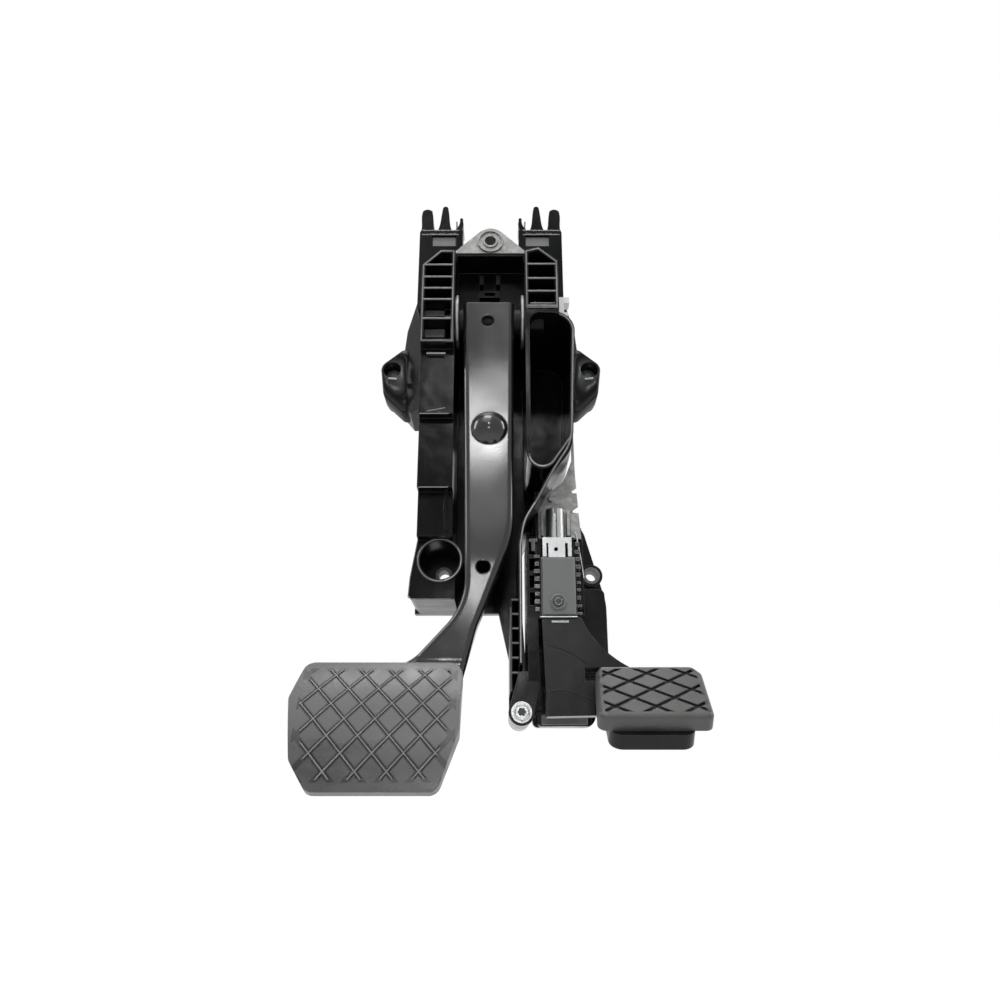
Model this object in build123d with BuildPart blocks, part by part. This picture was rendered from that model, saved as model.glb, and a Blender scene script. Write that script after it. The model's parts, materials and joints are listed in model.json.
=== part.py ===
from build123d import *
import os
from math import atan2, cos, degrees, radians, sin

# Car pedal assembly: a brake pedal and an accelerator module on one bulkhead bracket.
# Millimetres. The origin lies on the bulkhead face, midway between the two upper bulkhead
# bolts. +X is to the driver's right, +Y forward through the bulkhead, +Z up.

os.makedirs("parts", exist_ok=True)

# Fits
SEAT_GAP = 0.3  # between pieces of different bodies that pass or rest near each other
RUN = 0.05  # radial clearance of a running fit

# Bulkhead pattern
BOLT_SPACING = 160  # upper pair
LOWER_BOLT_Z = -168
LOWER_LEFT_X = -35
LOWER_RIGHT_X = 77
SLEEVE_R = 6.5
BOLT_HOLE_R = 4.25

# Bracket moulding
WALL = 2.6
RIB = 1.8
FLANGE_T = 8
BRACKET_TOP = 74
FIELD_TOP = 64  # upper edge of both rib fields
FLANGE_FOOT = -196
BOX_X = 51  # outer face of both rib fields
BOX_HALF = 57  # flange half width
CAVITY_HALF = 26  # bearing walls stand this far from the arm's plane
FIELD_FRONT = 98
FIELD_FOOT = -15
LEFT_RIBS = (50.8, 40.3, 30.5, 20.9, 4.7)
RIGHT_RIBS = (51.5, 39, 28, 15.5)
BOX_STEPS = ((FIELD_FOOT, 88), (-67, 80), (-120, 70))  # where each step starts, and its depth
BOX_FOOT = -153
POCKET_FRONT = 96
POCKET_WALL = 3  # between the pocket and the arm's cavity
POCKET_FOOT_Z = -101
POCKET_RIGHT = 59.5  # widest reach of the pocket's mouth
POCKET_ARCH_R = 13.5
POCKET_TOP_R = 8
POCKET_SIDE_R = 9.5
POCKET_FOOT_R = 8
BLADE_T = 2.4
BLADE_X = 21.2
BLADE_FOOT = -262
WING_R = 8.5
WING_TOP = 60
WING_FOOT = -42
WING_COVER = 50  # depth of the wings' sloped covers at the box
COVER_EDGE = 15  # and at their outer edge
COVER_X = 77.5
COVER_SKIN = 3
BOSS_DEPTH = 14
HOOD_DEPTH = 27  # front of the bosses round the upper bolts
WEB_DEPTH = 57
WEB_T = 3
WEB_FOOT = 14
SOCKET_BLOCK = 60
SOCKET_RIM = 62
SOCKET_R = 14
BOOSTER_W = 36
BOOSTER_H = 44
BOOSTER_CORNER = 8

# Forks above the bracket
FORK_OUTER = 57.5
FORK_INNER = 22.5
FORK_BACK = 42
FORK_FRONT = 64
FORK_FOOT = 34
FORK_TOP = 108
FIN_ROOT = 3  # the fins start this far down in the fork's body

# Crossmember lug
LUG_Z = 84.5
LUG_R = 12.5
LUG_RING_R = 10
LUG_BACK = 68
LUG_T = 12
LUG_FOOT_W = 54

# Brake pivot
PIVOT_Y = -78
PIVOT_Z = 13
BOLT_R = 4
HEAD_R = 6.6
HEAD_H = 6
INSERT_R = 6
INSERT_L = 14
PIVOT_SLEEVE_R = 6
BUSH_R = 8
TUBE_R = 10
DISC_R = 20
DISC_T = 2.4
DISC_PLAY = 0.6  # between a disc and its bearing wall
TUBE_HALF = CAVITY_HALF - DISC_T - DISC_PLAY

# Brake arm
ARM_TOP = 22
ARM_T = 2.5
ARM_EDGE_R = 4  # rounding of the pressed front edges
ARM_EDGE_Y = -84.5  # those edges all lie in front of this
PUSHROD_Z = -82
DOME_R = 14
DOME_Y = -90
BALL_R = 8.5

# Brake pad
PAD_X = -66
PAD_Y = -122
PAD_Z = -280
PAD_TILT = 22
PAD_T = 9.5
PAD_CROWN = 135
PLATE_T = 2.5
PLATE_INSET = 6
TREAD_PITCH_X = 18.2
TREAD_PITCH_Z = 20.2
GROOVE_W = 1.8
GROOVE_DEPTH = 1.2

# Accelerator module
HUB_Y = -40
HUB_Z = -162
HUB_R = 10
HUB_X0 = 38
HUB_X1 = 54
PIN_R = 4
BOX_X0 = 33
BOX_X1 = 60
BOX_WALL = 3
BOX_TOP = -116
BOX_BOTTOM = -212
BOX_BACK = 9
CHAMBER_FRONT = 58  # upper half of the box, behind the adapter plate
BOX_FRONT = 74  # lower half, closed by the front cover
BASE_T = 9.5
BASE_X0 = 31
COVER_TOP = -172
COVER_T = 12
LUG_SCREW_X = 21.5
LUG_SCREW_Z = -273
LUG_SCREW_DEPTH = 62
LUG_SCREW_T = 14
SPRING_Y = -21
SPRING_FOOT = -149
SPRING_TOP = -120
SPRING_R = 7
SPRING_WIRE = 0.8
INNER_SPRING_R = 3.8
INNER_SPRING_WIRE = 0.6
SHEET_T = 1.6
TUBE_X = 46.5
TUBE_TOP = -133
TUBE_FOOT = -157
GUIDE_R = 6.5
CLIP_FRONT = 76
SENSOR_X1 = 66.5

# Accelerator lever
LEVER_FRONT = 85
LEVER_DEPTH = 19
LEVER_T = 3

# Accelerator pad
APAD_X = 98.5
APAD_Y = -118
APAD_Z = -262.5
APAD_TILT = 50
APAD_T = 10.5


def facing(depth=0.0):
    """Plane that faces the driver, `depth` in front of the bulkhead, drawn in (right, up)."""
    return Plane.XZ.offset(depth)


def across(x):
    """Plane across the car at `x`, drawn in (forward, up)."""
    return Plane.YZ.offset(x)


def tilted(x, y, z, tilt):
    """Plane of a pedal pad: its normal points to the driver and `tilt` degrees up."""
    normal = (0, -cos(radians(tilt)), sin(radians(tilt)))
    return Plane(origin=(x, y, z), x_dir=(1, 0, 0), z_dir=normal)


def stepped_profile(inset):
    """Side profile of the left box, `inset` inside its skin and open to the bulkhead."""
    points = [(0, FIELD_FOOT - inset)]
    for start, depth in BOX_STEPS:
        ledge = start - inset if start == FIELD_FOOT else start + inset
        points += [(points[-1][0], ledge), (inset - depth, ledge)]
    points += [(points[-1][0], BOX_FOOT + inset), (0, BOX_FOOT + inset)]
    return points[1:]


def pocket_outline(grow):
    """Rounded outline of the deep right pocket, `grow` outside its mouth."""
    inner = CAVITY_HALF + POCKET_WALL
    for x, z, radius in (
        (inner + POCKET_TOP_R, 2, POCKET_TOP_R),
        (POCKET_RIGHT - POCKET_ARCH_R, -4, POCKET_ARCH_R),
        (BOX_HALF - 0.8 - POCKET_SIDE_R, -84, POCKET_SIDE_R),
        (inner + POCKET_FOOT_R, POCKET_FOOT_Z, POCKET_FOOT_R),
    ):
        with Locations((x, z)):
            Circle(radius + grow)
    make_hull()


def wing_cover(near, inset):
    """Sloped cover of the right wing from `near` outwards, drawn `inset` inside its skin."""
    fall = (WING_COVER - COVER_EDGE) / (COVER_X - BOX_X)
    with BuildPart() as cover:
        with BuildSketch(facing()):
            with BuildLine():
                Polyline(
                    (near, WING_TOP - inset),
                    (BOX_HALF + 2 - inset, WING_TOP - inset),
                    (69 - inset, 36),
                    (72 - inset, 12),
                    (COVER_X - inset, -13),
                    (73.5 - inset, inset - 29),
                    (63 - inset, inset + WING_FOOT),
                    (near, inset + WING_FOOT),
                    close=True,
                )
            make_face()
        extrude(amount=WING_COVER)
        # Everything in front of the slope is cleared away
        with BuildSketch(Plane.XY.offset(WING_FOOT - 5)):
            with BuildLine():
                Polyline(
                    (near - 1, inset - WING_COVER - fall * (BOX_X + 1 - near)),
                    (COVER_X + 9, inset - COVER_EDGE + 9 * fall),
                    (COVER_X + 9, -WING_COVER - 9),
                    (near - 1, -WING_COVER - 9),
                    close=True,
                )
            make_face()
        extrude(amount=WING_TOP - WING_FOOT + 10, mode=Mode.SUBTRACT)
    return cover.part


# Forks: a tall base with a window and a bar of three cells, under three fins each

with BuildPart() as fork:
    with BuildSketch(facing(FORK_BACK)):
        with BuildLine():
            FilletPolyline(
                (CAVITY_HALF, FORK_FOOT),
                (FORK_OUTER, FORK_FOOT),
                (FORK_OUTER, FORK_TOP),
                (FORK_INNER, FORK_TOP),
                (FORK_INNER, BRACKET_TOP),
                (CAVITY_HALF, BRACKET_TOP),
                radius=(1, 3, 1, 1),
            )
            Line((CAVITY_HALF, BRACKET_TOP), (CAVITY_HALF, FORK_FOOT))
        make_face()
    extrude(amount=FORK_FRONT - FORK_BACK)
    with BuildSketch(facing(FORK_FRONT)):
        with Locations((37.8, 97.5)):
            Rectangle(19.7, 10)
        with Locations((31, FORK_TOP - 2.5), (39.5, FORK_TOP - 2.5), (47, FORK_TOP - 2.5)):
            Rectangle(6, 2.6)
    extrude(amount=-3, mode=Mode.SUBTRACT)
    # Fins with hollow flanks: tip and root of each side, from the outer fin to the inner one
    root = FORK_TOP - FIN_ROOT
    for left, right, tip_left, tip_right, top in (
        (45, FORK_OUTER, 48, FORK_OUTER - 1.5, 129.5),
        (31, 44, 35, 39.5, 132.5),
        (FORK_INNER, 30, FORK_INNER + 0.4, FORK_INNER + 2.6, 121),
    ):
        with BuildSketch(facing(FORK_BACK + 1)):
            with BuildLine():
                near = Line((left, root), (left + 0.2, FORK_TOP))
                flank = Spline(
                    near @ 1, (tip_left - 0.6, top - 6), (tip_left, top - 2), tangents=((0.6, 1), (0.1, 1))
                )
                tip = ThreePointArc(flank @ 1, ((tip_left + tip_right) / 2, top), (tip_right, top - 2))
                other = Spline(
                    tip @ 1, (tip_right + 0.6, top - 6), (right - 0.2, FORK_TOP), tangents=((0.1, -1), (0.6, -1))
                )
                Polyline(other @ 1, (right, root), near @ 0)
            make_face()
        extrude(amount=FORK_FRONT - FORK_BACK - 3)


# Bearing bracket

with BuildPart() as bearing_bracket:
    # Flange under the boxes, then the wings drawn round the upper bolts
    with BuildSketch(facing()):
        with BuildLine():
            Polyline(
                (-BOX_HALF, BRACKET_TOP),
                (BOX_HALF, BRACKET_TOP),
                (BOX_HALF, -95),
                (BLADE_X + 3, -148),
                (BLADE_X + 3, FLANGE_FOOT),
                (-BOX_HALF, FLANGE_FOOT),
                close=True,
            )
        make_face()
    extrude(amount=FLANGE_T)
    for hand in (-1, 1):
        with BuildSketch(facing()):
            with BuildLine():
                Polyline(
                    (hand * (BOX_HALF - 2), WING_TOP),
                    (hand * BOX_HALF, WING_TOP),
                    (hand * 72, 15),
                    (hand * 72, WING_FOOT + 10),
                    (hand * (BOX_HALF - 2), WING_FOOT),
                    close=True,
                )
            make_face()
        extrude(amount=FLANGE_T)
        with BuildSketch(facing()):
            with Locations((hand * BOLT_SPACING / 2, 0), (hand * (BOLT_SPACING / 2 - 2), -17)):
                Circle(WING_R)
            with Locations((hand * 68, -8)):
                Rectangle(6, 42)
            make_hull()
        extrude(amount=FLANGE_T)

    # Stepped box on the left, under its rib field
    with BuildSketch(across(-BOX_X)):
        with BuildLine():
            Polyline(*stepped_profile(0), close=True)
        make_face()
    extrude(amount=BOX_X - CAVITY_HALF)

    # Blocks of the two rib fields
    with BuildSketch(facing()):
        with BuildLine():
            Polyline(
                (-CAVITY_HALF, FIELD_TOP),
                (-37.5, FIELD_TOP),
                (-BOX_X, FIELD_TOP - 13),
                (-BOX_X, FIELD_FOOT),
                (-CAVITY_HALF, FIELD_FOOT),
                close=True,
            )
        make_face()
        with BuildLine():
            Polyline(
                (CAVITY_HALF, FIELD_TOP),
                (36.5, FIELD_TOP + 2.5),
                (BOX_X, FIELD_TOP - 9),
                (BOX_X, 0),
                (CAVITY_HALF + POCKET_WALL + 1, 0),
                (CAVITY_HALF + POCKET_WALL + 1, POCKET_FOOT_Z),
                (CAVITY_HALF, POCKET_FOOT_Z),
                close=True,
            )
        make_face()
    extrude(amount=FIELD_FRONT)

    # Right pocket's wall, and the blade that sweeps down from it
    with BuildSketch(facing()):
        pocket_outline(WALL)
    extrude(amount=POCKET_FRONT)
    with BuildSketch(facing()):
        with BuildLine():
            sweep_line = Spline(
                (BOX_HALF, -88),
                (44.5, -112),
                (34, -131),
                (24.5, -147),
                (BLADE_X, -164),
                tangents=((0, -1), (0, -1)),
            )
            Line(sweep_line @ 1, (BLADE_X, BLADE_FOOT))
        trace(line_width=BLADE_T)
    extrude(amount=POCKET_FRONT)
    # The blade's front edge falls back towards its foot
    with BuildSketch(across(BLADE_X - 10)):
        with BuildLine():
            Polyline(
                (-FIELD_FRONT - 5, -104),
                (-POCKET_FRONT, -104),
                (-86, -160),
                (-80, -243),
                (0.5 - LUG_SCREW_DEPTH, -246),
                (0.5 - LUG_SCREW_DEPTH, BLADE_FOOT - 5),
                (-FIELD_FRONT - 5, BLADE_FOOT - 5),
                close=True,
            )
        make_face()
    extrude(amount=60, mode=Mode.SUBTRACT)

    # Below the pocket the sweep is a hood only: the accelerator module stands behind it
    with BuildSketch(facing(FLANGE_T)):
        with Locations((52, -132)):
            Rectangle(41, 38)
    extrude(amount=CHAMBER_FRONT + 2.5 - FLANGE_T, mode=Mode.SUBTRACT)

    # Sloped covers from the boxes out to the wing bolts
    add(wing_cover(BOX_X - 1, 0))
    add(mirror(wing_cover(BOX_X - 1, 0), about=Plane.YZ, mode=Mode.PRIVATE))

    # Cells of the rib fields
    with BuildSketch(facing(FIELD_FRONT)):
        with BuildLine():
            Polyline(
                (-CAVITY_HALF - WALL, FIELD_TOP - WALL),
                (-37, FIELD_TOP - WALL),
                (-BOX_X + WALL, FIELD_TOP - 14),
                (-BOX_X + WALL, FIELD_FOOT + WALL),
                (-CAVITY_HALF - WALL, FIELD_FOOT + WALL),
                close=True,
            )
        make_face()
        with Locations(*[(-(BOX_X + CAVITY_HALF) / 2, z) for z in LEFT_RIBS]):
            Rectangle(BOX_X - CAVITY_HALF, RIB, mode=Mode.SUBTRACT)
    extrude(amount=FLANGE_T - FIELD_FRONT, mode=Mode.SUBTRACT)
    with BuildSketch(facing(FIELD_FRONT)):
        with BuildLine():
            Polyline(
                (CAVITY_HALF + WALL, FIELD_TOP - WALL),
                (36, FIELD_TOP + 2.5 - WALL),
                (BOX_X - WALL, FIELD_TOP - 10.5),
                (BOX_X - WALL, 12.5),
                (CAVITY_HALF + WALL, 12.5),
                close=True,
            )
        make_face()
        with Locations(*[((BOX_X + CAVITY_HALF) / 2, z) for z in RIGHT_RIBS]):
            Rectangle(BOX_X - CAVITY_HALF, RIB, mode=Mode.SUBTRACT)
    extrude(amount=FLANGE_T - FIELD_FRONT, mode=Mode.SUBTRACT)

    # Mouth of the right pocket
    with BuildSketch(facing(FIELD_FRONT)):
        pocket_outline(0)
    extrude(amount=FLANGE_T - FIELD_FRONT, mode=Mode.SUBTRACT)

    # The left box is hollow from the bulkhead side
    with BuildSketch(across(-BOX_X + WALL)):
        with BuildLine():
            Polyline(*stepped_profile(WALL), close=True)
        make_face()
    extrude(amount=BOX_X - CAVITY_HALF - 2 * WALL, mode=Mode.SUBTRACT)

    # Bright slot under the left field
    with BuildSketch(facing(BOX_STEPS[0][1])):
        with Locations((-39.5, -21.5)):
            RectangleRounded(13, 1.8, 0.8)
    extrude(amount=-2, mode=Mode.SUBTRACT)

    # Ceiling, its side walls and the cross web between the bearing walls
    with BuildSketch(facing()):
        with Locations((0, BRACKET_TOP - WALL / 2)):
            Rectangle(2 * (CAVITY_HALF + WALL), WALL)
        for hand in (-1, 1):
            with Locations((hand * (CAVITY_HALF + WALL / 2), (BRACKET_TOP + FIELD_TOP) / 2 - 1)):
                Rectangle(WALL, BRACKET_TOP - FIELD_TOP + 2)
    extrude(amount=LUG_BACK + LUG_T)
    with BuildSketch(facing(WEB_DEPTH - WEB_T)):
        with Locations((0, (BRACKET_TOP + WEB_FOOT) / 2)):
            Rectangle(2 * CAVITY_HALF + 2, BRACKET_TOP - WEB_FOOT)
    extrude(amount=WEB_T)
    # Two hooks and a clip seat for the harness on the cross web
    with BuildSketch(facing(WEB_DEPTH)):
        with Locations((-7, 59), (6, 59)):
            Rectangle(3, 8)
        with Locations((-0.5, 46)):
            Rectangle(16, 6)
            Rectangle(8, 3, mode=Mode.SUBTRACT)
    extrude(amount=9)

    # Pivot bosses on the bearing walls
    with BuildSketch(across(-CAVITY_HALF - 8)):
        with Locations((PIVOT_Y, PIVOT_Z)):
            Circle(INSERT_R + 4)
    extrude(amount=8)
    with BuildSketch(across(CAVITY_HALF)):
        with Locations((PIVOT_Y, PIVOT_Z)):
            Circle(INSERT_R + 4)
    extrude(amount=INSERT_L)
    with BuildSketch(across(-CAVITY_HALF - 8)):
        with Locations((PIVOT_Y, PIVOT_Z)):
            Circle(BOLT_R + 0.2)
    extrude(amount=8, mode=Mode.SUBTRACT)
    with BuildSketch(across(CAVITY_HALF)):
        with Locations((PIVOT_Y, PIVOT_Z)):
            Circle(INSERT_R)
    extrude(amount=INSERT_L, mode=Mode.SUBTRACT)
    # Tool hole for the pivot bolt in the outer wall
    with BuildSketch(across(-BOX_X - 1)):
        with Locations((PIVOT_Y, PIVOT_Z)):
            Circle(HEAD_R + 1.5)
    extrude(amount=WALL + 2, mode=Mode.SUBTRACT)

    # The sloped covers are hollow behind
    add(wing_cover(POCKET_RIGHT + WALL + 0.5, COVER_SKIN), mode=Mode.SUBTRACT)
    add(
        mirror(wing_cover(BOX_X + 0.5, COVER_SKIN), about=Plane.YZ, mode=Mode.PRIVATE),
        mode=Mode.SUBTRACT,
    )

    # Hooded bosses and holes of the upper bulkhead bolts
    with BuildSketch(facing()):
        with Locations((-BOLT_SPACING / 2, 0), (BOLT_SPACING / 2, 0)):
            Circle(WING_R)
    extrude(amount=HOOD_DEPTH)
    with BuildSketch(facing(BOSS_DEPTH)):
        with Locations((-BOLT_SPACING / 2, 0), (BOLT_SPACING / 2, 0)):
            Circle(SLEEVE_R + 0.6)
    extrude(amount=WING_COVER, mode=Mode.SUBTRACT)
    with BuildSketch(facing()):
        with Locations((-BOLT_SPACING / 2, 0), (BOLT_SPACING / 2, 0)):
            Circle(SLEEVE_R)
    extrude(amount=BOSS_DEPTH, mode=Mode.SUBTRACT)

    # Block at the lower left with the round tool tunnel to its bulkhead bolt
    with BuildSketch(facing()):
        with BuildLine():
            block_edge = FilletPolyline(
                (-CAVITY_HALF + 2, BOX_FOOT + 4),
                (-CAVITY_HALF + 2, FLANGE_FOOT),
                (-BOX_HALF, FLANGE_FOOT),
                (-BOX_HALF + 1, FLANGE_FOOT + 14),
                (-BOX_HALF + 7, BOX_FOOT + 4),
                radius=(2, 5, 30),
            )
            Line(block_edge @ 1, block_edge @ 0)
        make_face()
    extrude(amount=SOCKET_BLOCK)
    # Stiffening rib from the tunnel up the box
    with BuildSketch(facing(50)):
        with BuildLine():
            Spline((-30, -149), (-31, -124), (-28.5, -110))
        trace(line_width=RIB)
    extrude(amount=23)
    with BuildSketch(facing()):
        with Locations((LOWER_LEFT_X, LOWER_BOLT_Z)):
            Circle(SOCKET_R + WALL)
    extrude(amount=SOCKET_RIM)
    with BuildSketch(facing(BOSS_DEPTH)):
        with Locations((LOWER_LEFT_X, LOWER_BOLT_Z)):
            Circle(SOCKET_R)
    extrude(amount=SOCKET_RIM, mode=Mode.SUBTRACT)
    with BuildSketch(facing()):
        with Locations((LOWER_LEFT_X, LOWER_BOLT_Z)):
            Circle(SLEEVE_R)
    extrude(amount=BOSS_DEPTH, mode=Mode.SUBTRACT)

    # Opening for the brake booster's neck and pushrod
    with BuildSketch(facing()):
        with Locations((0, PUSHROD_Z)):
            RectangleRounded(BOOSTER_W, BOOSTER_H, BOOSTER_CORNER)
    extrude(amount=FLANGE_T, mode=Mode.SUBTRACT)

    # Leg beside the accelerator module: foot plate, ladder of ribs, screw column
    with BuildSketch(facing()):
        with BuildLine():
            Polyline(
                (6, FLANGE_FOOT + 2),
                (24, FLANGE_FOOT + 2),
                (29, LUG_SCREW_Z),
                (14, LUG_SCREW_Z),
                (14, -230),
                close=True,
            )
        make_face()
        with Locations((LUG_SCREW_X, LUG_SCREW_Z)):
            Circle(8)
    extrude(amount=FLANGE_T)
    with BuildSketch(facing()):
        with Locations((15, (FLANGE_FOOT + BLADE_FOOT) / 2 + 2)):
            Rectangle(2, FLANGE_FOOT - BLADE_FOOT - 4)
        with Locations(*[(18, FLANGE_FOOT - 10 * n) for n in range(6)]):
            Rectangle(6, RIB)
    extrude(amount=SOCKET_BLOCK)
    with BuildSketch(facing()):
        with Locations((LUG_SCREW_X, LUG_SCREW_Z)):
            Circle(8)
    extrude(amount=LUG_SCREW_DEPTH)
    with BuildSketch(facing(LUG_SCREW_DEPTH)):
        with Locations((LUG_SCREW_X, LUG_SCREW_Z)):
            Circle(4.5)
    extrude(amount=-20, mode=Mode.SUBTRACT)

    add(fork.part)
    add(mirror(fork.part, about=Plane.YZ, mode=Mode.PRIVATE))


# Pieces fixed to the bracket at the top

with BuildPart() as crossmember_lug:
    with BuildSketch(facing(LUG_BACK)):
        with Locations((0, LUG_Z)):
            Circle(LUG_R)
        with Locations((0, BRACKET_TOP + 1)):
            Rectangle(LUG_FOOT_W, 2)
        make_hull()
    extrude(amount=LUG_T)
    # Ring bush with a dished face
    with BuildSketch(facing(LUG_BACK)):
        with Locations((0, LUG_Z)):
            Circle(LUG_RING_R)
    extrude(amount=LUG_T + 1.5)
    with BuildSketch(facing(LUG_BACK + LUG_T + 1.5)):
        with Locations((0, LUG_Z)):
            Circle(LUG_RING_R - 1.4)
            Circle(BOLT_HOLE_R + 1.6, mode=Mode.SUBTRACT)
    extrude(amount=-1, mode=Mode.SUBTRACT)
    with BuildSketch(facing(LUG_BACK)):
        with Locations((0, BRACKET_TOP - 5)):
            Rectangle(LUG_FOOT_W, 10)
    extrude(amount=LUG_T, mode=Mode.SUBTRACT)
    with BuildSketch(facing(LUG_BACK)):
        with Locations((0, LUG_Z)):
            Circle(BOLT_HOLE_R)
    extrude(amount=LUG_T + 1.5, mode=Mode.SUBTRACT)
    # Foot on the bracket's ceiling, behind the plate
    with BuildSketch(Plane.XY.offset(BRACKET_TOP)):
        with Locations((0, -LUG_BACK + 9)):
            Rectangle(36, 18)
        with Locations((-12, -LUG_BACK + 9), (12, -LUG_BACK + 9)):
            Circle(2.6, mode=Mode.SUBTRACT)
    extrude(amount=3)

with BuildPart() as lug_screws:
    with BuildSketch(Plane.XY.offset(BRACKET_TOP + 3)):
        with Locations((-12, -LUG_BACK + 9), (12, -LUG_BACK + 9)):
            Circle(4.5)
    extrude(amount=2.6)
    with BuildSketch(Plane.XY.offset(BRACKET_TOP)):
        with Locations((-12, -LUG_BACK + 9), (12, -LUG_BACK + 9)):
            Circle(2.5)
    extrude(amount=3)

with BuildPart() as bulkhead_sleeves:
    with BuildSketch(facing()):
        with Locations(
            (-BOLT_SPACING / 2, 0),
            (BOLT_SPACING / 2, 0),
            (LOWER_LEFT_X, LOWER_BOLT_Z),
            (LOWER_RIGHT_X, LOWER_BOLT_Z),
        ):
            Circle(SLEEVE_R)
            Circle(BOLT_HOLE_R, mode=Mode.SUBTRACT)
    extrude(amount=BOSS_DEPTH + 0.5)

with BuildPart() as edge_clip:
    with BuildSketch(facing(79)):
        with BuildLine():
            Polyline(
                (BOX_X, 29),
                (BOX_X + 8.5, 29),
                (BOX_X + 8.5, 24),
                (BOX_X + 4.5, 24),
                (BOX_X + 4.5, 16),
                (BOX_X + 7.5, 16),
                (BOX_X + 7.5, 13),
                (BOX_X, 13),
                close=True,
            )
        make_face()
    extrude(amount=9)

# Brake pivot

with BuildPart() as pivot_bolt:
    with BuildSketch(across(-CAVITY_HALF - 8)):
        with Locations((PIVOT_Y, PIVOT_Z)):
            Circle(BOLT_R)
    extrude(amount=8 + 2 * CAVITY_HALF + INSERT_L)
    with BuildSketch(across(-CAVITY_HALF - 8)):
        with Locations((PIVOT_Y, PIVOT_Z)):
            Circle(HEAD_R)
    extrude(amount=-HEAD_H)
    with BuildSketch(across(-CAVITY_HALF - 8 - HEAD_H)):
        with Locations((PIVOT_Y, PIVOT_Z)):
            RegularPolygon(3.5, 6)
    extrude(amount=3.5, mode=Mode.SUBTRACT)

with BuildPart() as pivot_insert:
    with BuildSketch(across(CAVITY_HALF)):
        with Locations((PIVOT_Y, PIVOT_Z)):
            Circle(INSERT_R)
            Circle(BOLT_R, mode=Mode.SUBTRACT)
    extrude(amount=INSERT_L)

with BuildPart() as pivot_sleeve:
    with BuildSketch(across(-CAVITY_HALF)):
        with Locations((PIVOT_Y, PIVOT_Z)):
            Circle(PIVOT_SLEEVE_R)
            Circle(BOLT_R + 0.2, mode=Mode.SUBTRACT)
    extrude(amount=2 * CAVITY_HALF)

with BuildPart() as bearing_bushes:
    for hand in (-1, 1):
        with BuildSketch(across(hand * TUBE_HALF)):
            with Locations((PIVOT_Y, PIVOT_Z)):
                Circle(DISC_R)
                Circle(PIVOT_SLEEVE_R + RUN, mode=Mode.SUBTRACT)
        extrude(amount=hand * DISC_T)
        with BuildSketch(across(hand * TUBE_HALF)):
            with Locations((PIVOT_Y, PIVOT_Z)):
                Circle(BUSH_R)
                Circle(PIVOT_SLEEVE_R + RUN, mode=Mode.SUBTRACT)
        extrude(amount=-hand * 16)

with BuildPart() as pivot_tube:
    with BuildSketch(across(-TUBE_HALF)):
        with Locations((PIVOT_Y, PIVOT_Z)):
            Circle(TUBE_R)
            Circle(BUSH_R, mode=Mode.SUBTRACT)
    extrude(amount=2 * TUBE_HALF)

with BuildPart() as arm_stop_buffer:
    with BuildSketch(facing(WEB_DEPTH)):
        with Locations((0, ARM_TOP - 1.5)):
            Circle(6)
    extrude(amount=67 - WEB_DEPTH - SEAT_GAP)


# Brake arm: a pressed hat section, open towards the bulkhead

def arm_front_view(inset):
    """Front view of the arm, drawn `inset` inside its edge."""
    with BuildSketch() as view:
        with BuildLine():
            edge = FilletPolyline(
                (18, ARM_TOP),
                (16.3, -158),
                (-8, -222),
                (-18, -262),
                (-46, -294),
                (-84, -287),
                (-84, -257),
                (-48, -241),
                (-15.3, -206),
                (-20, ARM_TOP),
                radius=(90, 60, 30, 12, 10, 8, 30, 45),
            )
            Line(edge @ 1, edge @ 0)
        make_face()
        if inset:
            offset(amount=-inset, mode=Mode.REPLACE)
    return view.sketch


def behind_pad(up, gap):
    """Point `up` along the brake pad and `gap` behind its plate, in (forward, up)."""
    lean = radians(PAD_TILT)
    back = PAD_T + PLATE_T + gap
    return (PAD_Y + up * sin(lean) + back * cos(lean), PAD_Z + up * cos(lean) - back * sin(lean))


def arm_side_view(inset, back):
    """Side view of the arm: front skin `inset` inside, then the corners of its `back`."""
    with BuildSketch() as view:
        with BuildLine():
            front_line = FilletPolyline(
                (inset - 92, ARM_TOP - inset),
                (inset - 99, -178),
                behind_pad(44, inset),
                behind_pad(-12, inset),
                radius=(120, 12),
            )
            Polyline(front_line @ 1, *back, front_line @ 0)
        make_face()
    return view.sketch


with BuildPart() as arm_inside:
    with BuildSketch(facing(20)):
        add(arm_front_view(ARM_T))
    extrude(amount=110)
    with BuildSketch(across(-100)):
        add(arm_side_view(ARM_T, ((-30, -295), (-30, ARM_TOP - ARM_T))))
    extrude(amount=130, mode=Mode.INTERSECT)

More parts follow.
